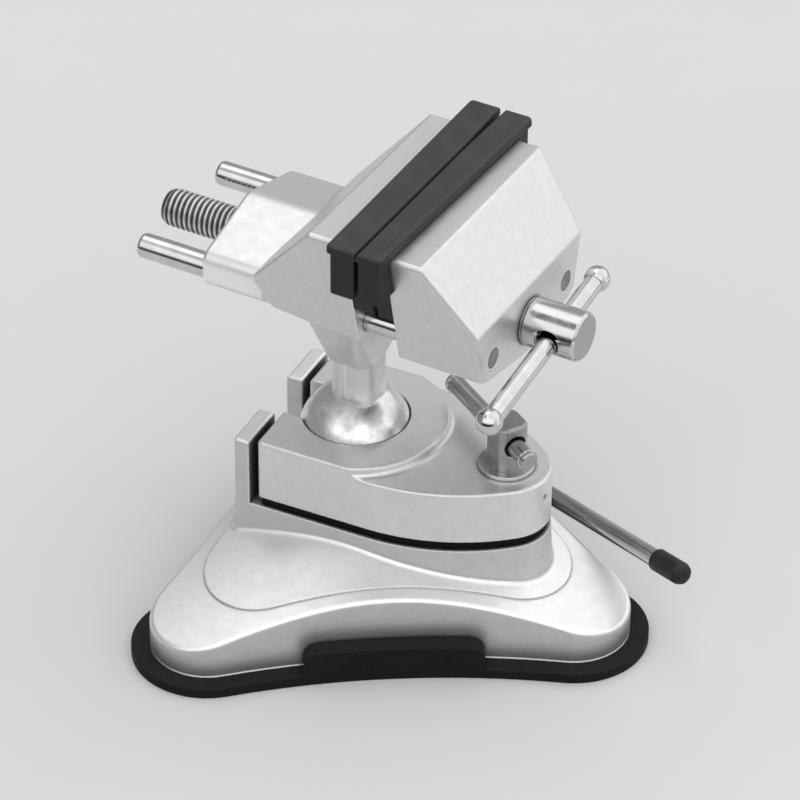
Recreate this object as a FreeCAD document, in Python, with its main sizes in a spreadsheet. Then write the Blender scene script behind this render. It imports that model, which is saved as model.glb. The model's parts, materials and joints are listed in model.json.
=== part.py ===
"""Suction base vise: a small bench vise on a ball joint and a lever-locked rubber suction foot.

Millimetres. The row frame has its origin in the middle of the suction face, +X towards the clamp
screw at the nose of the base and +Z up. Pieces of the vise head are modelled in the head frame,
whose origin lies on the lead screw's axis in the plane where the jaws close, with +X towards the
movable jaw, and are then placed on the ball together.
"""
import FreeCAD, Part
import Sketcher
import math
import os

from FreeCAD import Placement, Rotation, Vector

SIZES = [
    # suction pad
    ("lobe_reach", 54.0, "base centre to the centre of each lobe"),
    ("pad_lobe_radius", 19.8, "rubber outline at a lobe"),
    ("pad_waist_radius", 211.5, "hollow arc of the rubber outline between lobes"),
    ("pad_rim", 2.7, "thickness of the rubber rim"),
    ("pad_lift", 2.9, "rise of the pad's middle when the lever is locked"),
    ("pad_flat_radius", 11.6, "flat middle of the pad, under the lift stud"),
    ("pad_dish_radius", 30.5, "where the pad's hollow starts"),
    ("tab_width", 46.0, "rubber tab up the casting's side"),
    ("tab_height", 9.6, "top of the tab above the bench"),
    ("tab_corner", 3.6, "corner radius of the tab"),
    ("skin_gap", 0.1, "rubber to metal, where rubber stands against a curved wall"),
    # base casting
    ("rim_margin", 4.9, "rubber seen outside the casting"),
    ("casting_wall", 3.2, "wall of the hollow casting"),
    ("apex_height", 33.7, "apex of the cone that tops the casting"),
    ("cone_slope", 0.34, "fall of the cone per length outwards"),
    ("rim_round", 1.6, "round between the cone and the side walls"),
    ("panel_reach", 35.5, "base centre to the corner centres of the raised panel"),
    ("panel_radius", 16.5, "corner radius of the raised panel"),
    ("panel_waist_radius", 600.0, "hollow side arcs of the raised panel"),
    ("panel_step", 0.6, "height of the raised panel"),
    ("pedestal_top", 30.5, "top of the pedestal"),
    ("pedestal_foot", 13.0, "level where the pedestal's walls start, inside the casting"),
    ("pedestal_draft", 1.1, "how much wider the pedestal is at its foot, on each side"),
    ("pedestal_round", 1.5, "round where the pedestal meets the cone"),
    ("upright_rear", -31.8, "rear face of the uprights"),
    ("upright_thickness", 4.5, "uprights, front to back"),
    ("upright_top", 49.6, "top of the uprights"),
    ("upright_round", 0.8, "rounded edges of the uprights"),
    # clamp plate and what it holds
    ("ball_x", -7.85, "ball centre along the base"),
    ("ball_z", 44.5, "ball centre above the bench"),
    ("ball_radius", 15.0, "ball"),
    ("ball_gap", 0.3, "ball to its seats"),
    ("gasket_thickness", 2.9, "gasket between pedestal and clamp plate"),
    ("gasket_inset", 0.9, "gasket edge inside the plate's edge"),
    ("plate_rear", -25.0, "rear face of the clamp plate"),
    ("plate_half_width", 22.5, "half the width of the clamp plate"),
    ("plate_straight_end", 6.15, "where the straight sides of the plate end"),
    ("plate_thickness", 14.7, "clamp plate at the nose"),
    ("boss_radius", 24.0, "round boss about the ball"),
    ("boss_step", 2.5, "boss above the nose"),
    ("boss_round", 1.6, "round at the foot of the boss"),
    ("plate_round", 0.8, "rounded edges of the plate"),
    ("shoe_corner", 1.2, "rear corners of the plate, the gasket and the pedestal"),
    ("nose_x", 34.15, "centre of the nose"),
    ("clamp_screw_x", 34.55, "clamp screw axis along the base"),
    ("nose_radius", 12.0, "nose of the clamp plate"),
    ("slot_half_width", 7.86, "slot behind the ball, half its width"),
    ("hole_chamfer", 0.9, "chamfer round the ball hole"),
    ("dimple_radius", 0.8, "small dimple in the side of the nose"),
    ("dimple_turn", -7.0, "angle of the dimple round the nose"),
    ("dimple_below", 5.4, "dimple below the plate's nose face"),
    ("seat_depth", 3.3, "ball seat's recess in the pedestal"),
    ("seat_radius", 15.5, "ball seat, outside"),
    ("seat_height", 8.8, "ball seat"),
    ("seat_hole_radius", 6.0, "hole in the bottom of the ball seat"),
    ("seat_gap", 0.3, "ball seat to its recess, radial"),
    # clamp screw and T-bar
    ("post_width", 8.6, "square head of the clamp screw, across flats"),
    ("post_height", 12.8, "square head of the clamp screw"),
    ("post_corner", 2.3, "vertical corner radius of the square head"),
    ("post_round", 0.9, "rounded top edge of the square head"),
    ("clamp_shank_radius", 4.0, "clamp screw, threaded shank"),
    ("clamp_shank_length", 37.0, "clamp screw, shank below the head"),
    ("clamp_boss_radius", 8.0, "boss that the clamp screw threads into"),
    ("clamp_boss_foot", 8.6, "lower end of that boss"),
    ("plate_hole_gap", 0.5, "clamp screw shank to the plate, radial"),
    ("washer_radius", 7.3, "clamp washer"),
    ("washer_thickness", 1.2, "clamp washer"),
    ("bar_turn", -35.6, "direction of the T-bar from +X"),
    ("bar_radius", 2.4, "T-bar"),
    ("bar_hole_radius", 3.1, "hole for the T-bar"),
    ("bar_above_washer", 7.2, "T-bar axis above the washer"),
    ("bar_near_reach", 11.5, "T-bar, post axis to its near end"),
    ("bar_far_reach", 28.3, "T-bar, post axis to its far end"),
    ("bar_chamfer", 0.4, "chamfered ends of the T-bar"),
    ("ring_inset", 1.5, "snap ring middle to the T-bar's end"),
    ("ring_radius", 2.75, "snap ring, outside"),
    ("ring_thickness", 0.7, "snap ring"),
    ("ring_groove_depth", 0.45, "groove for the snap ring"),
    # suction lever
    ("shaft_turn", 60.0, "direction of the cam shaft from +X"),
    ("shaft_z", 12.2, "cam shaft axis above the bench"),
    ("shaft_radius", 4.0, "cam shaft"),
    ("running_gap", 0.08, "running fit, radial"),
    ("cam_radius", 5.6, "eccentric on the cam shaft"),
    ("cam_throw", 1.5, "offset of the eccentric"),
    ("cam_half_width", 4.0, "half the eccentric's width"),
    ("inner_bearing_from", 12.0, "inner bearing, nearer face from the base centre"),
    ("inner_bearing_length", 6.5, "inner bearing along the shaft"),
    ("inner_bearing_width", 14.0, "inner bearing across the shaft"),
    ("inner_bearing_below", 6.0, "inner bearing below the shaft axis"),
    ("clip_radius", 6.0, "shaft clip, outside"),
    ("clip_thickness", 1.0, "shaft clip"),
    ("clip_groove_depth", 1.0, "groove for the shaft clip"),
    ("shaft_tail", 1.0, "shaft end past the clip"),
    ("bush_radius", 5.6, "shaft bush, outside"),
    ("bush_length", 9.0, "shaft bush inside the wall"),
    ("bush_flange_radius", 7.5, "flange of the shaft bush"),
    ("bush_flange", 2.0, "thickness of that flange"),
    ("bush_seat_gap", 0.2, "flange to the hollow wall"),
    ("bush_boss_radius", 8.0, "boss inside the wall, round the bush"),
    ("lever_plane", 46.0, "base centre to the lever's plane"),
    ("hub_radius", 5.2, "lever hub"),
    ("hub_width", 7.0, "lever hub along the shaft"),
    ("hub_chamfer", 0.6, "chamfer on the lever hub"),
    ("lever_tilt", 10.5, "lever above the horizontal when locked, degrees"),
    ("lever_radius", 2.4, "lever arm"),
    ("lever_length", 69.1, "hub axis to the end of the grip"),
    ("lever_stub", 0.4, "lever arm past the far side of the hub"),
    ("grip_length", 11.1, "grip cap"),
    ("grip_radius", 3.0, "grip cap"),
    ("grip_wall", 2.2, "closed end of the grip cap"),
    ("stud_radius", 11.0, "disc of the lift stud"),
    ("stud_thickness", 7.0, "window frame of the lift stud, along the shaft"),
    ("stud_frame", 2.4, "top of the window frame"),
    ("window_above", 0.7, "window clear of the eccentric, above"),
    ("window_below", 0.45, "window clear of the eccentric, below"),
    ("window_beside", 0.4, "window clear of the eccentric's swing, on each side"),
    # vise head
    ("head_turn", -3.2, "head turned on the ball, degrees"),
    ("screw_above_ball", 51.9, "lead screw axis above the ball centre"),
    ("jaw_ahead_of_ball", 20.85, "jaw closing plane ahead of the ball"),
    ("jaw_top", 28.9, "metal top of the jaws above the screw axis"),
    ("jaw_half_width", 25.2, "half width of the jaws at the screw axis"),
    ("jaw_draft", 0.2225, "widening of the jaws per height"),
    ("jaw_round", 1.1, "rounded jaw edges"),
    ("lip_start", 17.5, "lip under the cover starts at this height"),
    ("movable_face", 4.9, "clamping side of the movable jaw, metal"),
    ("movable_top_end", 14.3, "front edge of the movable jaw's flat top"),
    ("movable_front", 28.2, "front face of the movable jaw"),
    ("movable_slant_foot", 10.6, "foot of the movable jaw's slant"),
    ("movable_side_foot", -4.5, "underside of the movable jaw at its sides"),
    ("movable_keel", -9.7, "lowest line of the movable jaw"),
    ("keel_shoulder_y", 21.0, "where the underside turns towards the sides"),
    ("keel_shoulder_z", -6.0, "height of that turn"),
    ("movable_lip", 3.2, "cover's thickness in front of the movable jaw's lip"),
    ("fixed_face", 6.3, "clamping side of the fixed jaw, metal"),
    ("fixed_lip", 3.2, "cover's thickness in front of the fixed jaw's lip"),
    ("fixed_top_end", 16.8, "rear edge of the fixed jaw's flat top"),
    ("back_slope", 0.866, "back slant of the fixed jaw, length per height"),
    ("back_foot_z", 6.8, "foot of that slant"),
    ("corner_x", 30.8, "lower rear corner of the fixed jaw"),
    ("fixed_foot", -4.0, "underside of the fixed jaw at its face"),
    ("fixed_heel", -1.5, "underside of the fixed jaw at its lower rear corner"),
    ("block_rear", 52.3, "rear face of the block behind the fixed jaw"),
    ("block_half_width", 23.0, "half width of that block"),
    ("block_ridge", 12.2, "ridge of the block's roof"),
    ("block_eave", 5.9, "eaves of the roof"),
    ("block_keel", -7.0, "underside of the block"),
    ("block_corner", 4.1, "lower corners of the block"),
    ("eave_round", 4.0, "round along the eaves"),
    ("block_round", 1.2, "rounded edges of the block"),
    ("ridge_round", 7.0, "round along the ridge"),
    ("flare_rear", 22.0, "flare above the neck, rear edge"),
    ("flare_front", 7.2, "flare above the neck, front edge"),
    ("flare_half_width", 24.6, "flare above the neck, half width at its top"),
    ("flare_corner", 1.2, "corner radius at the flare's top"),
    ("neck_top", -26.5, "where the flare ends and the neck starts"),
    ("neck_half_width", 6.05, "half the neck's width"),
    ("neck_ahead", 0.75, "neck ahead of the ball's middle"),
    ("neck_corner", 3.9, "corner radius of the neck"),
    ("flare_ledge", 0.55, "flare's lower end beyond the neck"),
    # guide rods and lead screw
    ("rod_radius", 3.25, "guide rods"),
    ("rod_offset", 19.06, "guide rods beside the screw axis"),
    ("rod_rise", 0.4, "guide rods above the screw axis"),
    ("rod_rear", 71.9, "rear ends of the guide rods"),
    ("rod_round", 0.9, "rounded rear ends of the guide rods"),
    ("press_gap", 0.02, "pressed or glued fit, radial"),
    ("screw_radius", 5.0, "lead screw"),
    ("screw_rear", 75.5, "rear end of the lead screw"),
    ("thread_pitch", 1.5, "lead screw pitch"),
    ("thread_depth", 0.75, "lead screw thread"),
    ("thread_crest", 0.3, "flat on the thread's crest"),
    ("head_radius", 6.45, "round head of the lead screw"),
    ("head_start", 28.6, "rear face of the screw head"),
    ("head_end", 43.5, "front face of the screw head"),
    ("head_chamfer", 0.7, "chamfers of the screw head"),
    ("tommy_x", 36.0, "tommy bar plane"),
    ("tommy_hole_radius", 3.35, "hole for the tommy bar"),
    ("tommy_hole_chamfer", 0.5, "chamfer of that hole"),
    ("thrust_radius", 6.0, "thrust washer"),
    ("face_gap", 0.02, "thrust faces"),
    ("nut_radius", 6.8, "threaded bush, outside"),
    ("nut_length", 20.0, "threaded bush"),
    ("screw_bore_gap", 0.5, "lead screw to the block behind the bush, radial"),
    ("retainer_radius", 6.4, "retaining ring of the lead screw"),
    ("retainer_thickness", 1.0, "retaining ring"),
    ("retainer_groove_depth", 0.9, "groove for the retaining ring"),
    ("tommy_radius", 2.55, "tommy bar"),
    ("tommy_span", 57.0, "between the knob centres"),
    ("tommy_shift", -7.4, "tommy bar slid along itself"),
    ("tommy_sag", 0.45, "tommy bar below the middle of its hole"),
    ("tommy_tilt", 8.0, "tommy bar from the horizontal, degrees"),
    ("knob_radius", 3.4, "knobs of the tommy bar"),
    ("knob_skin", 2.3, "knob beyond the bar's end"),
    # rubber jaw covers
    ("cover_gap", 0.15, "cover face to the closing plane"),
    ("fixed_cover_near", 8.3, "back of the fixed jaw's cover from the closing plane, near end"),
    ("fixed_cover_far", 9.1, "the same at the far end"),
    ("movable_cover_near", 6.8, "back of the movable jaw's cover from the closing plane, near end"),
    ("movable_cover_far", 8.7, "the same at the far end"),
    ("cover_half_width", 37.6, "half width of the covers"),
    ("cover_top", 32.4, "top of the covers"),
    ("cap_thickness", 2.3, "top slab of the covers"),
    ("cap_overhang", 0.8, "top slab beyond the back of the flaps"),
    ("cap_end_overhang", 0.4, "top slab beyond the ends of the flaps"),
    ("cap_corner", 1.3, "vertical corners of the top slab"),
    ("cover_spread", 0.6, "each cover's far end leans away from the closing plane"),
    ("spread_start", 20.0, "where that lean starts, from the middle"),
    ("flap_spread", 0.55, "near flaps, away from the closing plane"),
    ("flap_foot", 18.5, "lower edge of the end flaps"),
    ("pad_foot", 8.0, "lower edge of the cover's face"),
    ("cover_round", 1.2, "rounded cover edges"),
]


class Size:
    """A length from the sheet, with the formula that a property is bound to."""

    def __init__(self, value, formula):
        self.value = value
        self.formula = formula

    def __float__(self):
        return self.value

    def __neg__(self):
        return Size(-self.value, "(0 - %s)" % self.formula)

    def __add__(self, other):
        return Size(self.value + float(other), "(%s + %s)" % (self.formula, formula_of(other)))

    def __sub__(self, other):
        return Size(self.value - float(other), "(%s - %s)" % (self.formula, formula_of(other)))

    def __mul__(self, other):
        return Size(self.value * float(other), "(%s * %s)" % (self.formula, formula_of(other)))

    def __truediv__(self, other):
        return Size(self.value / float(other), "(%s / %s)" % (self.formula, formula_of(other)))


def formula_of(number):
    return number.formula if isinstance(number, Size) else "(%.12g)" % number


class Sizes:
    """Every alias of the sheet as an attribute."""

    def __init__(self, sheet):
        for name, _, _ in SIZES:
            setattr(self, name, Size(float(sheet.get(name)), "sizes." + name))


doc = FreeCAD.newDocument("suction_base_vise")


def size_sheet():
    sheet = doc.addObject("Spreadsheet::Sheet", "sizes")
    for row, (name, value, note) in enumerate(SIZES, start=1):
        sheet.set("A%d" % row, name)
        sheet.set("B%d" % row, str(value))
        sheet.set("C%d" % row, note)
        sheet.setAlias("B%d" % row, name)
    doc.recompute()
    return sheet


size = Sizes(size_sheet())
ZERO = Size(0.0, "0")
UP = Rotation()
ALONG_X = Rotation(Vector(0, 1, 0), 90)
SHAFT_WAYS = Rotation(Vector(0, 0, 1), float(size.shaft_turn)) * ALONG_X
BAR_WAYS = Rotation(Vector(0, 0, 1), float(size.bar_turn)) * ALONG_X


def spin(degrees):
    """A turn about the vertical."""
    return Placement(Vector(), Rotation(Vector(0, 0, 1), float(degrees)))


def at(x, y, z, turn=UP):
    return Placement(Vector(float(x), float(y), float(z)), turn)


# Levels and places that several pieces share.
plate_foot = size.pedestal_top + size.gasket_thickness
plate_nose = plate_foot + size.plate_thickness
boss_top = plate_nose + size.boss_step
seat_foot = size.pedestal_top - size.seat_depth
cavity_radius = size.seat_radius + size.seat_gap
socket_radius = size.ball_radius + size.ball_gap
ceiling = seat_foot - size.casting_wall
washer_top = plate_nose + size.washer_thickness
bar_z = washer_top + size.bar_above_washer
casting_lobe = size.pad_lobe_radius - size.rim_margin
casting_waist = size.pad_waist_radius + size.rim_margin
ON_BALL = at(size.ball_x, 0, size.ball_z) * spin(size.head_turn)
HEAD = ON_BALL * at(size.jaw_ahead_of_ball, 0, size.screw_above_ball)
SHAFT = at(0, 0, size.shaft_z, SHAFT_WAYS)
TOMMY = HEAD * at(size.tommy_x, 0, -size.tommy_sag, Rotation(Vector(1, 0, 0), float(size.tommy_tilt) - 90))


# ---- small builders -------------------------------------------------------------------------


def bind(item, **properties):
    """Set properties, and tie each one that comes from the sheet to its formula."""
    for name, number in properties.items():
        if isinstance(number, Size):
            item.setExpression(name, number.formula)
        else:
            setattr(item, name, number)
    return item


def put(item, place, turn=UP):
    """Place an item at three sheet lengths."""
    item.Placement = Placement(Vector(), turn)
    for axis, length in zip("xyz", place):
        if isinstance(length, Size):
            item.setExpression("Placement.Base." + axis, length.formula)
    return item


def cylinder(name, radius, length, place=(0, 0, 0), turn=UP):
    item = doc.addObject("Part::Cylinder", name)
    return put(bind(item, Radius=radius, Height=length), place, turn)


def cone(name, radius_from, radius_to, length, place=(0, 0, 0), turn=UP):
    item = doc.addObject("Part::Cone", name)
    return put(bind(item, Radius1=radius_from, Radius2=radius_to, Height=length), place, turn)


def box(name, length, width, height, place=(0, 0, 0), turn=UP):
    item = doc.addObject("Part::Box", name)
    return put(bind(item, Length=length, Width=width, Height=height), place, turn)


def sphere(name, radius, place=(0, 0, 0)):
    return put(bind(doc.addObject("Part::Sphere", name), Radius=radius), place)


def cast(name, shape):
    item = doc.addObject("Part::Feature", name)
    item.Shape = shape
    return item


def joined(name, *items):
    item = doc.addObject("Part::MultiFuse", name)
    item.Shapes = list(items)
    item.Refine = True
    return item


def cut(name, base, *tools):
    item = doc.addObject("Part::Cut", name)
    item.Base = base
    item.Tool = tools[0] if len(tools) == 1 else joined(name + "_tools", *tools)
    return item


def origin_plane(body, role):
    return next(plane for plane in body.Origin.OriginFeatures if plane.Role == role)


def profile_sketch(body, name, role, points):
    """A closed outline through points, each tied to the sheet by its two distances."""
    sketch = body.newObject("Sketcher::SketchObject", name)
    sketch.AttachmentSupport = [(origin_plane(body, role), "")]
    sketch.MapMode = "FlatFace"
    spots = [Vector(float(x), float(y), 0) for x, y in points]
    for start, end in zip(spots, spots[1:] + spots[:1]):
        sketch.addGeometry(Part.LineSegment(start, end), False)
    for index in range(len(spots)):
        after = (index + 1) % len(spots)
        sketch.addConstraint(Sketcher.Constraint("Coincident", index, 2, after, 1))
    for index, point in enumerate(points):
        for way, length in zip(("DistanceX", "DistanceY"), point):
            number = sketch.addConstraint(Sketcher.Constraint(way, -1, 1, index, 1, float(length)))
            if isinstance(length, Size):
                sketch.setExpression("Constraints[%d]" % number, length.formula)
    return sketch


def turned(name, points):
    """A body of revolution about its own Z, from (radius, height) points."""
    body = doc.addObject("PartDesign::Body", name)
    sketch = profile_sketch(body, name + "_profile", "XZ_Plane", points)
    turn = body.newObject("PartDesign::Revolution", name + "_turn")
    turn.Profile = sketch
    turn.ReferenceAxis = (sketch, ["V_Axis"])
    turn.Angle = 360
    body.Tip = turn
    return body


def padded(name, role, points, length, midplane=False):
    """A body extruded from a polygon on one of its origin planes."""
    body = doc.addObject("PartDesign::Body", name)
    sketch = profile_sketch(body, name + "_profile", role, points)
    pad = body.newObject("PartDesign::Pad", name + "_pad")
    pad.Profile = sketch
    bind(pad, Length=length)
    pad.Midplane = midplane
    body.Tip = pad
    return body


def ring(name, outer, inner, thickness):
    return turned(name, [(inner, ZERO), (outer, ZERO), (outer, thickness), (inner, thickness)])


def near(number, target, slack=0.01):
    return abs(number - target) < slack


def soften(shape, radius, pick):
    """Fillet the edges that pick accepts."""
    return shape.makeFillet(float(radius), [edge for edge in shape.Edges if pick(edge)])


def polar(radius, degrees):
    turn = math.radians(degrees)
    return Vector(radius * math.cos(turn), radius * math.sin(turn), 0)


def arc(centre, radius, start, end):
    circle = Part.Circle(centre, Vector(0, 0, 1), radius)
    return Part.ArcOfCircle(circle, math.radians(start), math.radians(end)).toShape()


def outline_face(edges, level):
    face = Part.Face(Part.Wire(Part.__sortEdges__(edges)))
    face.translate(Vector(0, 0, float(level)))
    return face


def prism(points, way, length):
    """A polygon swept straight along way."""
    face = Part.Face(Part.makePolygon(points + points[:1]))
    return face.extrude(way * float(length))


# ---- outlines -------------------------------------------------------------------------------


def lobed_face(reach, lobe_radius, waist_radius, level):
    """Three round lobes joined by tangent arcs that curve inwards."""
    reach, lobe_radius, waist_radius = float(reach), float(lobe_radius), float(waist_radius)
    span = lobe_radius + waist_radius
    waist_reach = (reach + math.sqrt(reach ** 2 - 4 * (reach ** 2 - span ** 2))) / 2
    edges = []
    for turn in (0, 120, 240):
        lobe = polar(reach, turn)
        before = polar(waist_reach, turn - 60)
        after = polar(waist_reach, turn + 60)
        beyond = polar(reach, turn + 120)
        start = lobe + (before - lobe).normalize() * lobe_radius
        end = lobe + (after - lobe).normalize() * lobe_radius
        next_start = beyond + (after - beyond).normalize() * lobe_radius
        waist = polar(waist_reach - waist_radius, turn + 60)
        edges.append(Part.Arc(start, polar(reach + lobe_radius, turn), end).toShape())
        edges.append(Part.Arc(end, waist, next_start).toShape())
    return outline_face(edges, level)


def shoe_face(rear, grow, level):
    """The clamp plate's outline: straight rear and sides, then arcs into a round nose."""
    side = float(size.plate_half_width) + grow
    nose = float(size.nose_radius) + grow
    corner = float(size.shoe_corner) + grow
    rear = float(rear) - grow
    start_x, nose_x = float(size.plate_straight_end), float(size.nose_x)
    flank = ((nose_x - start_x) ** 2 + side ** 2 - nose ** 2) / (2 * (side - nose))
    lean = math.degrees(math.atan2(flank - side, nose_x - start_x))
    edges = [Part.makeLine(Vector(rear, corner - side, 0), Vector(rear, side - corner, 0)),
             arc(Vector(nose_x, 0, 0), nose, -lean, lean)]
    for way, corner_turn, flank_turn in ((1, 90, lean), (-1, 180, -90)):
        corner_centre = Vector(rear + corner, way * (side - corner), 0)
        flank_centre = Vector(start_x, way * (side - flank), 0)
        edges.append(Part.makeLine(Vector(start_x, way * side, 0), Vector(rear + corner, way * side, 0)))
        edges.append(arc(corner_centre, corner, corner_turn, corner_turn + 90))
        edges.append(arc(flank_centre, flank, flank_turn, flank_turn + 90 - lean))
    return outline_face(edges, level)


def rounded_rectangle(x_from, x_to, half_width, corner, level):
    x_from, x_to, half_width, corner = float(x_from), float(x_to), float(half_width), float(corner)
    edges = []
    spots = [(x_to, half_width, 0), (x_from, half_width, 90),
             (x_from, -half_width, 180), (x_to, -half_width, 270)]
    for index, (x, y, turn) in enumerate(spots):
        inwards = polar(corner * math.sqrt(2), turn + 225)
        bend = arc(Vector(x, y, 0) + inwards, corner, turn, turn + 90)
        edges.append(bend)
        next_x, next_y, next_turn = spots[(index + 1) % 4]
        next_centre = Vector(next_x, next_y, 0) + polar(corner * math.sqrt(2), next_turn + 225)
        edges.append(Part.makeLine(bend.valueAt(bend.LastParameter), next_centre + polar(corner, next_turn)))
    wire = Part.Wire(Part.__sortEdges__(edges))
    wire.translate(Vector(0, 0, float(level)))
    return wire


# ---- base -----------------------------------------------------------------------------------


def coned_block(inset, drop, foot):
    """Lobed prism under a cone: the casting's outside, or its hollow when inset."""
    face = lobed_face(size.lobe_reach, casting_lobe - inset, casting_waist + inset, foot)
    height = float(size.apex_height) - drop - float(foot)
    cone_solid = Part.makeCone(height / float(size.cone_slope), 0, height, Vector(0, 0, float(foot)))
    return face.extrude(Vector(0, 0, height)).common(cone_solid)


def casting_shell():
    """Coned foot with its panel, pedestal and uprights, hollow below."""
    foot = float(size.pad_rim)
    outside = coned_block(0, 0, foot)
    shoulder = float(size.apex_height) - foot

    def on_cone_rim(edge):
        middle = edge.valueAt((edge.FirstParameter + edge.LastParameter) / 2)
        reach = math.hypot(middle.x, middle.y)
        return middle.z > foot + 1 and near(middle.z, float(size.apex_height) - float(size.cone_slope) * reach)

    outside = soften(outside, size.rim_round, on_cone_rim)
    panel = lobed_face(size.panel_reach, size.panel_radius, size.panel_waist_radius, size.pedestal_foot)
    panel_height = float(size.apex_height + size.panel_step - size.pedestal_foot)
    panel_cone = Part.makeCone(panel_height / float(size.cone_slope), 0, panel_height,
                               Vector(0, 0, float(size.pedestal_foot)))
    panel = panel.extrude(Vector(0, 0, shoulder)).common(panel_cone)
    draft = float(size.pedestal_draft)
    top_wire = shoe_face(size.upright_rear, 0, size.pedestal_top).OuterWire
    foot_wire = shoe_face(size.upright_rear, draft, size.pedestal_foot).OuterWire
    pedestal = Part.makeLoft([foot_wire, top_wire], True, True)
    outside = outside.fuse(panel).common(slab(foot, size.pedestal_top)).fuse(pedestal).removeSplitter()

    def at_pedestal_foot(edge):
        middle = edge.valueAt((edge.FirstParameter + edge.LastParameter) / 2)
        reach = math.hypot(middle.x, middle.y)
        surface = float(size.apex_height + size.panel_step) - float(size.cone_slope) * reach
        share = (float(size.pedestal_top) - middle.z) / float(size.pedestal_top - size.pedestal_foot)
        outline = shoe_face(size.upright_rear, draft * share, middle.z).OuterWire
        return near(middle.z, surface) and outline.distToShape(Part.Vertex(middle))[0] < 0.02

    outside = soften(outside, size.pedestal_round, at_pedestal_foot)
    hollow = coned_block(float(size.casting_wall), float(size.casting_wall), foot)
    return outside.cut(hollow.common(slab(foot, ceiling)))


def slab(low, high):
    """All space between two levels, as far as the base reaches."""
    reach = 2 * float(size.lobe_reach)
    return Part.makeBox(2 * reach, 2 * reach, float(high) - float(low), Vector(-reach, -reach, float(low)))


def uprights():
    """Two posts behind the clamp plate, either side of the slot."""
    width = size.plate_half_width - size.slot_half_width
    height = size.upright_top - size.pedestal_top
    posts = []
    for name, y in (("near", -size.plate_half_width), ("far", size.slot_half_width)):
        block = Part.makeBox(float(size.upright_thickness), float(width), float(height),
                             Vector(float(size.upright_rear), float(y), float(size.pedestal_top)))
        top, rear = float(size.upright_top), float(size.upright_rear)
        side = float(size.plate_half_width)

        def outer_rear_edge(edge):
            middle = edge.valueAt((edge.FirstParameter + edge.LastParameter) / 2)
            return near(middle.x, rear) and near(abs(middle.y), side) and edge.BoundBox.ZLength > 1

        block = soften(block, size.shoe_corner, outer_rear_edge)
        block = soften(block, size.upright_round, lambda edge: near(edge.BoundBox.ZMin, top))
        posts.append(cast("upright_" + name, block))
    return posts


def base_casting():
    shell = cast("casting_shell", casting_shell())
    boss_height = size.pedestal_top - size.clamp_boss_foot - 1
    clamp_boss = cylinder("clamp_boss", size.clamp_boss_radius, boss_height,
                          (size.clamp_screw_x, 0, size.clamp_boss_foot))
    bearing = cast("inner_bearing", inner_bearing_block())
    bush_boss = cast("bush_boss", bush_boss_block())
    body = joined("casting_body", shell, clamp_boss, bearing, bush_boss, *uprights())
    seat_recess = cylinder("seat_recess", cavity_radius, size.seat_depth + 1, (size.ball_x, 0, seat_foot))
    tapped = cylinder("tapped_hole", size.clamp_shank_radius + size.running_gap, size.pedestal_top,
                      (size.clamp_screw_x, 0, size.clamp_boss_foot - 1))
    item = cut("base_casting", body, seat_recess, tapped, cast("shaft_bores", shaft_bores()))
    return item


def shaft_cylinder(radius, start, end):
    """A cylinder on the cam shaft's axis, between two distances from the base centre."""
    item = Part.makeCylinder(float(radius), float(end) - float(start), Vector(0, 0, float(start)))
    item.Placement = SHAFT
    return item


def waist_distance(reach, lobe_radius, waist_radius):
    """How far the middle of a hollow side lies from the base centre."""
    span = float(lobe_radius + waist_radius)
    reach = float(reach)
    return (reach + math.sqrt(reach ** 2 - 4 * (reach ** 2 - span ** 2))) / 2 - float(waist_radius)


casting_side = waist_distance(size.lobe_reach, casting_lobe, casting_waist)
flange_start = casting_side + float(size.bush_seat_gap)
bush_start = flange_start - float(size.bush_length)
bearing_far = -float(size.inner_bearing_from + size.inner_bearing_length)


def inner_bearing_block():
    """Block that hangs from the ceiling and carries the inner end of the cam shaft."""
    length, width = float(size.inner_bearing_length), float(size.inner_bearing_width)
    below = float(size.inner_bearing_below)
    height = float(ceiling) + 1 - float(size.shaft_z) + below
    block = Part.makeBox(length, width, height, Vector(bearing_far, -width / 2, float(size.shaft_z) - below))
    block.Placement = spin(size.shaft_turn)
    return block


def bush_boss_block():
    side = casting_side - float(size.casting_wall) / 2
    return shaft_cylinder(size.bush_boss_radius, bush_start, side)


def shaft_bores():
    journal = size.shaft_radius + size.running_gap
    inner = shaft_cylinder(journal, bearing_far - 1, -float(size.inner_bearing_from) + 1)
    outer = shaft_cylinder(size.bush_radius + size.press_gap, bush_start - 1, casting_side + 3)
    return Part.makeCompound([inner, outer])


def suction_pad():
    """Rubber sheet, its middle drawn up, with two tabs against the casting's sides."""
    rim = lobed_face(size.lobe_reach, size.pad_lobe_radius, size.pad_waist_radius, 0).extrude(
        Vector(0, 0, float(size.pad_rim)))
    sheet = cast("pad_rim_sheet", rim)
    raised = cone("pad_raised", size.pad_dish_radius, size.pad_flat_radius, size.pad_lift,
                  (0, 0, size.pad_rim))
    dish = cone("pad_dish", size.pad_dish_radius, size.pad_flat_radius, size.pad_lift)
    tabs = [cast("pad_tab_%d" % turn, pad_tab(turn)) for turn in (180, 300)]
    return cut("suction_pad", joined("pad_sheet", sheet, raised, *tabs), dish)


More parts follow.
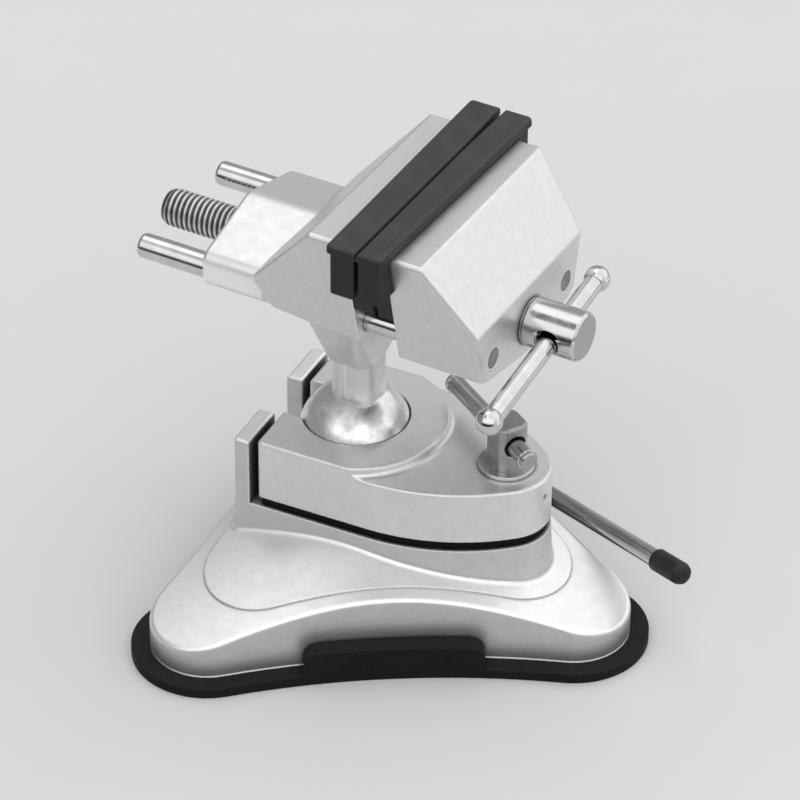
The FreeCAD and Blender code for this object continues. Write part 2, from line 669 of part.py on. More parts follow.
def pad_tab(turn):
    """Tab between the rubber's edge and the casting's side wall."""
    top, foot = float(size.tab_height), float(size.pad_rim) / 2
    gap = size.skin_gap
    outer = lobed_face(size.lobe_reach, size.pad_lobe_radius, size.pad_waist_radius, foot)
    inner = lobed_face(size.lobe_reach, casting_lobe + gap, casting_waist - gap, float(size.pad_rim))
    band = outer.extrude(Vector(0, 0, top - foot)).cut(inner.extrude(Vector(0, 0, top)))
    inner_core = lobed_face(size.lobe_reach, casting_lobe + gap, casting_waist - gap, 0)
    band = band.cut(inner_core.extrude(Vector(0, 0, top + 1)))
    width = float(size.tab_width)
    block = Part.makeBox(2 * casting_side, width, top, Vector(casting_side / 2, -width / 2, 0))
    block = soften(block, size.tab_corner,
                   lambda edge: near(edge.BoundBox.ZMin, top) and near(edge.Length, 2 * casting_side))
    block.Placement = spin(turn)
    return band.common(block)


def clamp_gasket():
    inset = -float(size.gasket_inset)
    sheet = cast("gasket_sheet", shoe_face(size.plate_rear, inset, size.pedestal_top).extrude(
        Vector(0, 0, float(size.gasket_thickness))))
    opening = cylinder("gasket_opening", cavity_radius, size.gasket_thickness,
                       (size.ball_x, 0, size.pedestal_top))
    hole = cylinder("gasket_hole", size.clamp_shank_radius + size.plate_hole_gap, size.gasket_thickness,
                    (size.clamp_screw_x, 0, size.pedestal_top))
    return cut("clamp_gasket", sheet, opening, hole)


def shaft_bush():
    """Flanged bush; its local Z runs outwards along the cam shaft."""
    bore = size.shaft_radius + size.running_gap
    flange = size.bush_length + size.bush_flange
    body = turned("shaft_bush", [
        (bore, ZERO), (size.bush_radius, ZERO), (size.bush_radius, size.bush_length),
        (size.bush_flange_radius, size.bush_length), (size.bush_flange_radius, flange), (bore, flange)])
    body.Placement = SHAFT * at(0, 0, bush_start)
    return body


# ---- ball clamp -----------------------------------------------------------------------------


def ball_seat():
    """Plastic cup under the ball; it turns with the head."""
    cup = cylinder("seat_cup", size.seat_radius, size.seat_height, (size.ball_x, 0, seat_foot))
    ball = sphere("seat_ball_room", socket_radius, (size.ball_x, 0, size.ball_z))
    hole = cylinder("seat_hole", size.seat_hole_radius, size.seat_height, (size.ball_x, 0, seat_foot))
    return cut("ball_seat", cup, ball, hole)


def boss_shape():
    """Boss about the ball axis: rounded rim above, hollow round at its foot, as a turned solid."""
    radius, foot, top = float(size.boss_radius), float(plate_foot), float(boss_top)
    hollow, rim = float(size.boss_round), float(size.plate_round)
    level = float(plate_nose)
    lean = math.sqrt(0.5)
    hollow_centre, rim_centre = (radius + hollow, level + hollow), (radius - rim, top - rim)
    spots = {
        "start": Vector(radius + hollow, 0, level),
        "hollow_middle": Vector(hollow_centre[0] - hollow * lean, 0, hollow_centre[1] - hollow * lean),
        "hollow_end": Vector(radius, 0, level + hollow),
        "rim_start": Vector(radius, 0, top - rim),
        "rim_middle": Vector(rim_centre[0] + rim * lean, 0, rim_centre[1] + rim * lean),
        "rim_end": Vector(radius - rim, 0, top),
    }
    edges = [
        Part.makeLine(Vector(0, 0, foot), Vector(radius + hollow, 0, foot)),
        Part.makeLine(Vector(radius + hollow, 0, foot), spots["start"]),
        Part.Arc(spots["start"], spots["hollow_middle"], spots["hollow_end"]).toShape(),
        Part.makeLine(spots["hollow_end"], spots["rim_start"]),
        Part.Arc(spots["rim_start"], spots["rim_middle"], spots["rim_end"]).toShape(),
        Part.makeLine(spots["rim_end"], Vector(0, 0, top)),
        Part.makeLine(Vector(0, 0, top), Vector(0, 0, foot)),
    ]
    boss = Part.Face(Part.Wire(edges)).revolve(Vector(), Vector(0, 0, 1), 360)
    boss.translate(Vector(float(size.ball_x), 0, 0))
    return boss


def plate_shell():
    """Shoe-shaped plate with its boss round the ball."""
    face = shoe_face(size.plate_rear, 0, plate_foot)
    full = face.extrude(Vector(0, 0, float(size.plate_thickness + size.boss_step)))
    low = face.extrude(Vector(0, 0, float(size.plate_thickness)))
    wide, high = 2 * float(size.plate_half_width), float(boss_top)
    behind = Part.makeBox(wide, 2 * wide, 2 * high, Vector(float(size.ball_x) - wide, -wide, 0))
    plate = low.fuse(full.common(boss_shape().fuse(behind))).removeSplitter()
    outline = shoe_face(size.plate_rear, 0, 0).OuterWire
    lowest = float(plate_nose)

    def on_upper_edge(edge):
        middle = edge.valueAt((edge.FirstParameter + edge.LastParameter) / 2)
        flat = Part.Vertex(middle.x, middle.y, 0)
        upright = near(edge.BoundBox.ZLength, edge.Length) and edge.Length > 1
        return middle.z > lowest - 0.01 and outline.distToShape(flat)[0] < 0.01 and not upright

    return soften(plate, size.plate_round, on_upper_edge)


def clamp_plate():
    shell = cast("plate_shell", plate_shell())
    place = (size.ball_x, 0, plate_foot)
    cavity = cylinder("plate_cavity", cavity_radius, size.ball_z - plate_foot, place)
    socket = sphere("plate_socket", socket_radius, (size.ball_x, 0, size.ball_z))
    mouth_radius = math.sqrt(float(socket_radius) ** 2 - float(boss_top - size.ball_z) ** 2)
    bevel = float(size.hole_chamfer)
    mouth = cast("plate_mouth", Part.makeCone(mouth_radius - bevel, mouth_radius + bevel, 2 * bevel,
                                              Vector(float(size.ball_x), 0, float(boss_top) - bevel)))
    slot = box("plate_slot", size.ball_x - size.plate_rear + 1, size.slot_half_width * 2,
               size.plate_thickness + size.boss_step + 2,
               (size.plate_rear - 1, -size.slot_half_width, plate_foot - 1))
    screw_hole = cylinder("plate_screw_hole", size.clamp_shank_radius + size.plate_hole_gap,
                          size.plate_thickness, (size.clamp_screw_x, 0, plate_foot))
    dimple = cast("plate_dimple", dimple_ball())
    return cut("clamp_plate", shell, cavity, socket, mouth, slot, screw_hole, dimple)


def dimple_ball():
    spot = polar(float(size.nose_radius), float(size.dimple_turn))
    ball = Part.makeSphere(float(size.dimple_radius))
    ball.translate(Vector(float(size.nose_x), 0, float(plate_nose - size.dimple_below)) + spot)
    return ball


def clamp_screw():
    """Square head with a cross hole, on a threaded shank; local Z is the screw's axis."""
    half = size.post_width / 2
    square = [(-half, -half), (half, -half), (half, half), (-half, half)]
    body = padded("clamp_screw", "XY_Plane", square, size.post_height)
    doc.recompute()
    block = body.Tip
    height = float(size.post_height)
    corners = body.newObject("PartDesign::Fillet", "clamp_screw_corners")
    corners.Base = (block, edges_named(block, lambda edge: near(edge.BoundBox.ZLength, height)))
    bind(corners, Radius=size.post_corner)
    doc.recompute()
    crown = body.newObject("PartDesign::Fillet", "clamp_screw_crown")
    crown.Base = (corners, edges_named(corners, lambda edge: near(edge.BoundBox.ZMin, height)))
    bind(crown, Radius=size.post_round)
    body.Tip = crown
    shank = cylinder("clamp_shank", size.clamp_shank_radius, size.clamp_shank_length,
                     (0, 0, -size.clamp_shank_length))
    hole = cylinder("clamp_bar_hole", size.bar_hole_radius, size.post_width + 2,
                    (-half - 1, 0, size.bar_above_washer), ALONG_X)
    item = cut("clamp_screw_drilled", joined("clamp_screw_blank", body, shank), hole)
    item.Placement = at(size.clamp_screw_x, 0, washer_top) * spin(size.bar_turn)
    return item


def edges_named(feature, pick):
    return ["Edge%d" % (number + 1) for number, edge in enumerate(feature.Shape.Edges) if pick(edge)]


def clamp_washer():
    bore = size.clamp_shank_radius + size.press_gap
    body = ring("clamp_washer", size.washer_radius, bore, size.washer_thickness)
    body.Placement = at(size.clamp_screw_x, 0, plate_nose)
    return body


ring_half = size.ring_thickness / 2


def clamp_bar():
    """T-bar with chamfered ends and a groove near each; local Z runs from far end to near end."""
    radius, bevel = size.bar_radius, size.bar_chamfer
    core = size.bar_radius - size.ring_groove_depth
    far, close = -size.bar_far_reach, size.bar_near_reach
    far_ring, near_ring = far + size.ring_inset, close - size.ring_inset
    body = turned("clamp_bar", [
        (ZERO, far), (radius - bevel, far), (radius, far + bevel),
        (radius, far_ring - ring_half), (core, far_ring - ring_half), (core, far_ring + ring_half),
        (radius, far_ring + ring_half), (radius, near_ring - ring_half), (core, near_ring - ring_half),
        (core, near_ring + ring_half), (radius, near_ring + ring_half),
        (radius, close - bevel), (radius - bevel, close), (ZERO, close)])
    body.Placement = at(size.clamp_screw_x, 0, bar_z, BAR_WAYS)
    return body


def clamp_bar_rings():
    core = size.bar_radius - size.ring_groove_depth + size.press_gap
    far_middle = size.ring_inset - size.bar_far_reach
    near_middle = size.bar_near_reach - size.ring_inset
    rings = []
    for name, middle in (("far", far_middle), ("near", near_middle)):
        foot = (0, 0, middle - ring_half)
        outer = cylinder("bar_ring_%s_outer" % name, size.ring_radius, size.ring_thickness, foot)
        inner = cylinder("bar_ring_%s_inner" % name, core, size.ring_thickness, foot)
        rings.append(cut("bar_ring_" + name, outer, inner))
    item = doc.addObject("Part::Compound", "clamp_bar_rings")
    item.Links = rings
    item.Placement = at(size.clamp_screw_x, 0, bar_z, BAR_WAYS)
    return item


# ---- suction lever --------------------------------------------------------------------------


hub_start = size.lever_plane - size.hub_width / 2
hub_end = size.lever_plane + size.hub_width / 2
LEVER_WAYS = Rotation(Vector(0, 0, 1), -float(size.lever_tilt)) * Rotation(Vector(1, 0, 0), 90)
LEVER = SHAFT * at(0, 0, size.lever_plane, LEVER_WAYS)


def cam_shaft():
    """Shaft with eccentric and hub; local Z runs outwards and local -X is up."""
    radius = size.shaft_radius
    clip_from = -size.inner_bearing_from - size.inner_bearing_length - size.face_gap
    clip_to = clip_from - size.clip_thickness - size.face_gap
    core = radius - size.clip_groove_depth
    tail = clip_to - size.shaft_tail
    bevel = size.hub_chamfer
    body = turned("cam_shaft_bar", [
        (ZERO, tail), (radius, tail), (radius, clip_to), (core, clip_to),
        (core, clip_from), (radius, clip_from),
        (radius, hub_start), (size.hub_radius - bevel, hub_start), (size.hub_radius, hub_start + bevel),
        (size.hub_radius, hub_end - bevel), (size.hub_radius - bevel, hub_end), (ZERO, hub_end)])
    cam = cylinder("cam", size.cam_radius, size.cam_half_width * 2,
                   (-size.cam_throw, 0, -size.cam_half_width))
    socket = cast("hub_socket", lever_socket())
    item = cut("cam_shaft", joined("cam_shaft_blank", body, cam), socket)
    item.Placement = SHAFT
    return item


def lever_socket():
    """Cross hole in the hub for the lever arm, in the cam shaft's own frame."""
    radius = float(size.lever_radius + size.press_gap)
    reach = float(size.hub_radius) + 1
    drill = Part.makeCylinder(radius, reach * 2, Vector(0, 0, -reach))
    drill.Placement = SHAFT.inverse() * LEVER
    return drill


def lever_arm():
    start = -size.hub_radius - size.lever_stub
    length = size.lever_length - size.grip_wall - start
    item = cylinder("lever_rod", size.lever_radius, length, (0, 0, start))
    item = joined("lever_arm", item, sphere("lever_rod_end", size.lever_radius, (0, 0, start)))
    item.Placement = LEVER
    return item


def lever_grip():
    """Rubber cap on the end of the lever arm."""
    start = size.lever_length - size.grip_length
    straight = size.grip_length - size.grip_radius / 2
    bevel = size.grip_radius / 2
    body = turned("lever_grip", [
        (ZERO, size.lever_length), (ZERO, size.lever_length - size.grip_wall),
        (size.lever_radius + size.press_gap, size.lever_length - size.grip_wall),
        (size.lever_radius + size.press_gap, start), (size.grip_radius, start),
        (size.grip_radius, start + straight),
        (size.grip_radius - bevel * 0.29, start + straight + bevel * 0.71),
        (size.grip_radius - bevel, start + straight + bevel)])
    body.Placement = LEVER
    return body


def shaft_clip():
    core = size.shaft_radius - size.clip_groove_depth + size.press_gap
    body = ring("shaft_clip", size.clip_radius, core, size.clip_thickness)
    body.Placement = SHAFT * at(0, 0, bearing_far - float(size.face_gap) - float(size.clip_thickness))
    return body


def lift_stud():
    """Disc on the pad, with a window round the eccentric; turned so that its width crosses the shaft."""
    pad_top = size.pad_rim + size.pad_lift
    window_foot = size.shaft_z + size.cam_throw - size.cam_radius - size.window_below
    window_top = size.shaft_z + size.cam_throw + size.cam_radius + size.window_above
    half_window = size.cam_radius + size.cam_throw + size.window_beside
    disc = cylinder("stud_disc_plate", size.stud_radius, window_foot - pad_top, (0, 0, pad_top))
    frame = box("stud_frame_block", size.stud_thickness, size.stud_radius * 2,
                window_top + size.stud_frame - pad_top - 0.5,
                (-size.stud_thickness / 2, -size.stud_radius, pad_top + 0.5))
    trim = cylinder("stud_frame_room", size.stud_radius, window_top + size.stud_frame, (0, 0, ZERO))
    window = box("stud_window", size.stud_thickness + 2, half_window * 2, window_top - window_foot,
                 (-size.stud_thickness / 2 - 1, -half_window, window_foot))
    held = doc.addObject("Part::MultiCommon", "stud_frame_trimmed")
    held.Shapes = [frame, trim]
    item = cut("lift_stud", joined("stud_blank", disc, held), window)
    item.Placement = spin(size.shaft_turn)
    return item


# ---- vise head ------------------------------------------------------------------------------


def jaw_reach(z):
    """Half width of the jaws at a height, because their ends are drafted."""
    return float(size.jaw_half_width) + float(size.jaw_draft) * z


def across(points, x_from, x_to):
    """A polygon of (y, z) points swept along X."""
    spots = [Vector(float(x_from), float(y), float(z)) for y, z in points]
    return prism(spots, Vector(1, 0, 0), float(x_to) - float(x_from))


def along(points):
    """A polygon of (x, z) points swept wide along Y."""
    wide = 2 * float(size.cover_half_width)
    return prism([Vector(float(x), -wide / 2, float(z)) for x, z in points], Vector(0, 1, 0), wide)


def movable_jaw_shell():
    top, foot = float(size.jaw_top), float(size.movable_side_foot)
    shoulder_y, shoulder_z = float(size.keel_shoulder_y), float(size.keel_shoulder_z)
    front = float(size.movable_front)
    below = float(size.movable_keel) - 1
    side_view = along([(size.movable_face, below), (front, below), (front, size.movable_slant_foot),
                       (size.movable_top_end, top), (size.movable_lip, top),
                       (size.movable_lip, size.lip_start), (size.movable_face, size.lip_start)])
    end_view = across([(jaw_reach(top), top), (-jaw_reach(top), top), (-jaw_reach(foot), foot),
                       (-shoulder_y, shoulder_z), (0, size.movable_keel), (shoulder_y, shoulder_z),
                       (jaw_reach(foot), foot)], 0, front + 1)
    shell = side_view.common(end_view).removeSplitter()
    back = float(size.movable_face)

    def outer_edge(edge):
        bounds = edge.BoundBox
        return bounds.XMax > back + 1 and not (near(bounds.YMin, 0, 0.5) and near(bounds.YMax, 0, 0.5))

    return soften(shell, size.jaw_round, outer_edge)


def movable_jaw():
    shell = cast("movable_jaw_shell", movable_jaw_shell())
    length = size.movable_front + 1
    rod_bore = size.rod_radius + size.press_gap
    bores = [cylinder("movable_rod_bore_%s" % name, rod_bore, length, (0, y, size.rod_rise), ALONG_X)
             for name, y in (("left", size.rod_offset), ("right", -size.rod_offset))]
    screw_bore = cylinder("movable_screw_bore", size.screw_radius + size.running_gap, length,
                          (0, 0, 0), ALONG_X)
    return cut("movable_jaw", shell, screw_bore, *bores)


def fixed_jaw_shell():
    """Fixed jaw, block, flare, neck and ball in one casting."""
    top, foot = float(size.jaw_top), float(size.fixed_foot)
    slant_foot = float(size.back_foot_z)
    back_x = float(size.fixed_top_end) + float(size.back_slope) * (top - slant_foot)
    side_view = along([(-size.fixed_face, foot), (-size.fixed_face, size.lip_start),
                       (-size.fixed_lip, size.lip_start), (-size.fixed_lip, top),
                       (-size.fixed_top_end, top), (-back_x, slant_foot), (-size.corner_x, size.fixed_heel)])
    end_view = across([(jaw_reach(top), top), (-jaw_reach(top), top), (-jaw_reach(foot), foot),
                       (jaw_reach(foot), foot)], -size.block_rear, 0)
    jaw = side_view.common(end_view).removeSplitter()
    face = -float(size.fixed_face)
    jaw = soften(jaw, size.jaw_round, lambda edge: edge.BoundBox.XMin < face - 1)
    flare = Part.makeLoft([
        rounded_rectangle(-size.flare_rear, -size.flare_front, size.flare_half_width,
                          size.flare_corner, size.fixed_heel + 0.5),
        flare_foot_wire()], True, True)
    ball_centre = -float(size.screw_above_ball)
    neck_start = float(size.neck_top) + 2
    neck = Part.Face(neck_wire(neck_start)).extrude(Vector(0, 0, ball_centre - neck_start + 4))
    ball = Part.makeSphere(float(size.ball_radius))
    ball.translate(Vector(-float(size.jaw_ahead_of_ball), 0, ball_centre))
    return jaw.fuse([block_shell(), flare, neck, ball]).removeSplitter()


def neck_wire(level):
    middle, half = size.jaw_ahead_of_ball - size.neck_ahead, size.neck_half_width
    return rounded_rectangle(-middle - half, -middle + half, half, size.neck_corner, level)


def flare_foot_wire():
    """Lower end of the flare, a little longer and wider than the neck."""
    half = size.neck_half_width + size.flare_ledge
    rear = size.neck_ahead - size.jaw_ahead_of_ball - half - size.flare_ledge
    front = size.neck_ahead - size.jaw_ahead_of_ball + size.neck_half_width
    return rounded_rectangle(rear, front, half, size.neck_corner, size.neck_top)


def block_shell():
    """Block behind the fixed jaw, with a gabled top and rounded lower corners."""
    side, keel, corner = float(size.block_half_width), float(size.block_keel), float(size.block_corner)
    low = -corner
    x = -float(size.block_rear)
    right = [Vector(x, float(size.neck_half_width), keel), Vector(x, side - corner, low),
             Vector(x, side, 0), Vector(x, side, float(size.block_eave)),
             Vector(x, 0, float(size.block_ridge))]
    left = [Vector(x, -spot.y, spot.z) for spot in reversed(right)]
    bend = corner * math.sqrt(0.5)
    edges = []
    for spots, sign in ((right, 1), (left, -1)):
        for start, end in zip(spots, spots[1:]):
            if near(min(start.z, end.z), low) and near(max(start.z, end.z), 0):
                middle = Vector(x, sign * (side - corner + bend), -bend)
                edges.append(Part.Arc(start, middle, end).toShape())
            else:
                edges.append(Part.makeLine(start, end))
    edges.append(Part.makeLine(left[-1], right[0]))
    face = Part.Face(Part.Wire(Part.__sortEdges__(edges)))
    block = face.extrude(Vector(float(size.block_rear - size.fixed_top_end), 0, 0))
    ridge = float(size.block_ridge)
    block = soften(block, size.ridge_round, lambda edge: near(edge.BoundBox.ZMin, ridge))
    eave = float(size.block_eave)
    block = soften(block, size.eave_round,
                   lambda edge: near(edge.BoundBox.ZMin, eave) and near(edge.BoundBox.ZMax, eave))
    return soften(block, size.block_round, lambda edge: near(edge.BoundBox.XMax, x))


def fixed_jaw_body():
    shell = cast("fixed_jaw_shell", fixed_jaw_shell())
    rear, length = -size.block_rear - 1, size.block_rear + 1
    rod_bore = size.rod_radius + size.running_gap
    bores = [cylinder("fixed_rod_bore_%s" % name, rod_bore, length, (rear, y, size.rod_rise), ALONG_X)
             for name, y in (("left", size.rod_offset), ("right", -size.rod_offset))]
    screw_bore = cylinder("fixed_screw_bore", size.screw_radius + size.screw_bore_gap, length,
                          (rear, 0, 0), ALONG_X)
    nut_bore = cylinder("nut_bore", size.nut_radius + size.press_gap, size.nut_length + 1,
                        (-size.fixed_face - size.nut_length, 0, 0), ALONG_X)
    return cut("fixed_jaw_body", shell, screw_bore, nut_bore, *bores)


def screw_nut():
    bore = size.screw_radius + size.running_gap
    body = ring("screw_nut", size.nut_radius, bore, size.nut_length)
    body.Placement = HEAD * at(-size.fixed_face - size.nut_length, 0, 0, ALONG_X)
    return body


def cover_plan(near_back, far_back, inset, end_inset, level):
    """Outline of a cover from above: its far half leans away from the closing plane."""
    start, half = float(size.cover_gap), float(size.cover_half_width) - end_inset
    lean_from, lean = float(size.spread_start), float(size.cover_spread)
    spots = [(start, -half), (float(near_back) - inset, -half), (float(far_back) - inset, half),
             (start + lean, half), (start, lean_from)]
    return Part.Face(Part.makePolygon([Vector(x, y, level) for x, y in spots + spots[:1]]))


def cover_blank(near_back, far_back):
    """Rubber cover of a jaw on the +X side, before the jaw's own shape is taken out of it."""
    start, half, top = float(size.cover_gap), float(size.cover_half_width), float(size.cover_top)
    slab_foot = top - float(size.cap_thickness)
    flap_foot = float(size.flap_foot)
    slab_plan = cover_plan(near_back, far_back, 0, 0, slab_foot)
    slab = slab_plan.extrude(Vector(0, 0, top - slab_foot))
    slab = soften(slab, size.cap_corner, lambda edge: edge.BoundBox.ZLength > 1 and edge.BoundBox.XMin > 3)
    slab = soften(slab, size.cover_round, lambda edge: near(edge.BoundBox.ZMin, top))
    below_plan = cover_plan(near_back, far_back, float(size.cap_overhang), float(size.cap_end_overhang), flap_foot)
    below = below_plan.extrude(Vector(0, 0, slab_foot - flap_foot))
    below = soften(below, size.cap_corner, lambda edge: edge.BoundBox.ZLength > 1 and edge.BoundBox.XMin > 3)
    pad_foot, pad_top = float(size.pad_foot), flap_foot + 1
    face = across([(jaw_reach(pad_foot), pad_foot), (-jaw_reach(pad_foot), pad_foot),
                   (-jaw_reach(pad_top), pad_top), (jaw_reach(pad_top), pad_top)],
                  start + float(size.cover_spread), size.fixed_face)
    wedge = Part.makeBox(float(size.flap_spread), half, slab_foot - flap_foot,
                         Vector(start, -half - jaw_reach(flap_foot), flap_foot))
    return slab.fuse([below.cut(wedge), face]).removeSplitter()


def jaw_room(x_from):
    """The space that a jaw's metal takes inside its cover."""
    top = float(size.jaw_top)
    low = float(size.lip_start)
    return across([(jaw_reach(top), top), (-jaw_reach(top), top),
                   (-jaw_reach(low), low), (jaw_reach(low), low)], x_from, size.fixed_cover_far + 1)


def movable_jaw_cover():
    blank = cover_blank(size.movable_cover_near, size.movable_cover_far).cut(jaw_room(size.movable_lip))
    face, foot = float(size.movable_face), float(size.pad_foot)
    wide = 4 * float(size.cover_half_width)
    below_lip = Part.makeBox(float(size.fixed_cover_far), wide, float(size.lip_start) - foot + 1,
                             Vector(face, -wide / 2, foot - 1))
    return cast("movable_jaw_cover", blank.cut(below_lip))


def fixed_jaw_cover():
    blank = cover_blank(size.fixed_cover_near, size.fixed_cover_far).cut(jaw_room(size.fixed_lip))
    return cast("fixed_jaw_cover", blank.mirror(Vector(), Vector(1, 0, 0)))


def guide_rod(name, y):
    bevel = size.rod_round
    length = size.rod_rear + size.movable_front
    radius = size.rod_radius
    body = turned("guide_rod_" + name, [
        (ZERO, ZERO), (radius - bevel, ZERO), (radius - bevel * 0.29, bevel * 0.29), (radius, bevel),
        (radius, length), (ZERO, length)])
    body.Placement = HEAD * at(-size.rod_rear, y, size.rod_rise, ALONG_X)
    return body


def lead_screw_blank():
    """Thread as a row of ridges, a plain neck through the movable jaw, then the head."""
    rear, radius, pitch = -float(size.screw_rear), float(size.screw_radius), float(size.thread_pitch)
    root = radius - float(size.thread_depth)
    crest = float(size.thread_crest)
    ring_from = float(size.movable_face - size.face_gap - size.retainer_thickness - size.face_gap)
    ring_to = float(size.movable_face)
    turns = int((ring_from - 1 - rear) / pitch)
    profile = [(rear, 0), (rear, root)]
    for turn in range(turns):
        start = rear + turn * pitch
        middle = start + pitch / 2
        profile += [(middle - crest / 2, radius), (middle + crest / 2, radius), (start + pitch, root)]
    groove = radius - float(size.retainer_groove_depth)
    bevel, big = float(size.head_chamfer), float(size.head_radius)
    head_from, head_to = float(size.head_start), float(size.head_end)
    plain = rear + turns * pitch + pitch / 2
    profile += [(plain, radius), (ring_from, radius), (ring_from, groove), (ring_to, groove),
                (ring_to, radius), (head_from, radius), (head_from, big - bevel),
                (head_from + bevel, big), (head_to - bevel, big), (head_to, big - bevel), (head_to, 0)]
    face = Part.Face(Part.makePolygon([Vector(x, 0, r) for x, r in profile] + [Vector(rear, 0, 0)]))
    return face.revolve(Vector(), Vector(1, 0, 0), 360)


def tommy_drill():
    """Cross hole through the screw head with a chamfered rim at each side, in the head frame."""
    reach, hole = float(size.head_radius), float(size.tommy_hole_radius)
    bevel = float(size.tommy_hole_chamfer)
    drill = Part.makeCylinder(hole, 2 * reach + 2, Vector(0, 0, -reach - 1))
    flat = math.sqrt(reach ** 2 - hole ** 2)
    for way in (1, -1):
        rim = Part.makeCone(hole, hole + 2 * bevel, 2 * bevel, Vector(0, 0, way * (flat - bevel)),
                            Vector(0, 0, way))
        drill = drill.fuse(rim)
    drill.Placement = at(size.tommy_x, 0, 0, Rotation(Vector(1, 0, 0), float(size.tommy_tilt) - 90))
    return drill


def lead_screw():
    return cut("lead_screw", cast("lead_screw_blank", lead_screw_blank()), cast("tommy_drill", tommy_drill()))


def thrust_washer():
    thickness = size.head_start - size.movable_front - size.face_gap * 2
    body = ring("thrust_washer", size.thrust_radius, size.screw_radius + size.running_gap, thickness)
    body.Placement = HEAD * at(size.movable_front + size.face_gap, 0, 0, ALONG_X)
    return body


def retaining_ring():
    inner = size.screw_radius - size.retainer_groove_depth + size.press_gap
    body = ring("retaining_ring", size.retainer_radius, inner, size.retainer_thickness)
    body.Placement = HEAD * at(size.movable_face - size.face_gap - size.retainer_thickness, 0, 0, ALONG_X)
    return body


knob_reach = size.tommy_span / 2
bar_end = knob_reach + size.knob_radius - size.knob_skin


def tommy_bar():
    item = cylinder("tommy_bar", size.tommy_radius, bar_end * 2)
    item.Placement = TOMMY * at(0, 0, size.tommy_shift - bar_end)
    return item


def tommy_knobs():
    knobs = []
    for name, way in (("far", 1), ("near", -1)):
        ball = sphere("knob_%s_ball" % name, size.knob_radius, (0, 0, knob_reach * way))
        start = ZERO if way > 0 else -bar_end
        bore = cylinder("knob_%s_bore" % name, size.tommy_radius + size.press_gap, bar_end, (0, 0, start))
        knobs.append(cut("knob_" + name, ball, bore))
    item = doc.addObject("Part::Compound", "tommy_knobs")
    item.Links = knobs
    item.Placement = TOMMY * at(0, 0, size.tommy_shift)
    return item


# ---- the whole vise -------------------------------------------------------------------------


def on_head(item):
    """Place a piece that was modelled in the head frame."""
    item.Placement = HEAD
    return item


pieces = {
    "base_casting": base_casting(),
    "suction_pad": suction_pad(),
    "clamp_gasket": clamp_gasket(),
    "shaft_bush": shaft_bush(),
    "ball_seat": ball_seat(),
    "clamp_plate": clamp_plate(),
    "clamp_screw": clamp_screw(),
    "clamp_washer": clamp_washer(),
    "clamp_bar": clamp_bar(),
    "clamp_bar_rings": clamp_bar_rings(),
    "cam_shaft": cam_shaft(),
    "lever_arm": lever_arm(),
    "lever_grip": lever_grip(),
    "shaft_clip": shaft_clip(),
    "lift_stud": lift_stud(),
    "fixed_jaw_body": on_head(fixed_jaw_body()),
    "fixed_jaw_cover": on_head(fixed_jaw_cover()),
    "screw_nut": screw_nut(),
    "movable_jaw": on_head(movable_jaw()),
    "movable_jaw_cover": on_head(movable_jaw_cover()),
    "guide_rod_left": guide_rod("left", size.rod_offset),
    "guide_rod_right": guide_rod("right", -size.rod_offset),
    "lead_screw": on_head(lead_screw()),
    "thrust_washer": thrust_washer(),
    "retaining_ring": retaining_ring(),
    "tommy_bar": tommy_bar(),
    "tommy_knobs": tommy_knobs(),
}

doc.recompute()
for item in doc.Objects:
    faults = [word for word in item.State if word in ("Invalid", "Error")]
    if faults:
        raise RuntimeError("%s is %s" % (item.Name, faults))
for name, piece in pieces.items():
    piece.Label = name
    if piece.Shape.isNull() or not piece.Shape.isValid() or piece.Shape.Volume <= 0:
        raise RuntimeError("%s has no sound shape" % name)

os.makedirs("parts", exist_ok=True)
for name, piece in pieces.items():
    piece.Shape.exportStep("parts/%s.step" % name)
    print("%-20s %9.1f mm3 %2d solid(s)" % (name, piece.Shape.Volume, len(piece.Shape.Solids)))
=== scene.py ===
"""Finishes for a suction base vise: satin castings, rubber covers, plated steel and a pale studio.

Metres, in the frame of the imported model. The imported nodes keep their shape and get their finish
here. Only the lead screw is built anew, with its helical thread.
"""

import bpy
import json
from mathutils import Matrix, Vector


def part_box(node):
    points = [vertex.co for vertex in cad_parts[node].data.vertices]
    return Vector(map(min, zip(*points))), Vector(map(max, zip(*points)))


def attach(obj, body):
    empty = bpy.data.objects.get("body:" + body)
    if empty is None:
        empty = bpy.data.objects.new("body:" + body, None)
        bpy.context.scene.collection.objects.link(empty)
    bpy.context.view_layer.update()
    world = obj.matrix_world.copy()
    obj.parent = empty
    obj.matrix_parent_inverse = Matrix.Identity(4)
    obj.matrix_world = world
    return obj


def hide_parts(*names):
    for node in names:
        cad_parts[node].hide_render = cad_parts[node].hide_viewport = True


bl_info = {
    "name": "Suction base vise finishes",
    "version": (1, 0, 0),
    "blender": (4, 5, 0),
    "location": "View3D > Sidebar > Vise",
    "description": "Finishes, lead screw thread and studio for a suction base vise",
    "category": "Object",
}

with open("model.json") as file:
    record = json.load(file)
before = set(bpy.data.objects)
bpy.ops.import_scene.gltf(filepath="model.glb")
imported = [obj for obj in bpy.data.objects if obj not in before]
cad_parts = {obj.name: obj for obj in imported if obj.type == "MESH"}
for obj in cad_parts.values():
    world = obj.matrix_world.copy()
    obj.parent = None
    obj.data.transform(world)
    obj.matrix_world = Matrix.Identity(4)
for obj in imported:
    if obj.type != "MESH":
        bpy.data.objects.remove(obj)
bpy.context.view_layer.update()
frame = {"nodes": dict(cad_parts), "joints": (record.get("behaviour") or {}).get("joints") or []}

import json
import math
from types import SimpleNamespace

import bmesh
import bpy
from bpy.props import FloatProperty, FloatVectorProperty, PointerProperty
from mathutils import Matrix, Vector

JOINTS = {joint["name"]: joint for joint in frame["joints"]}

# ---- where the pieces lie -------------------------------------------------------------------


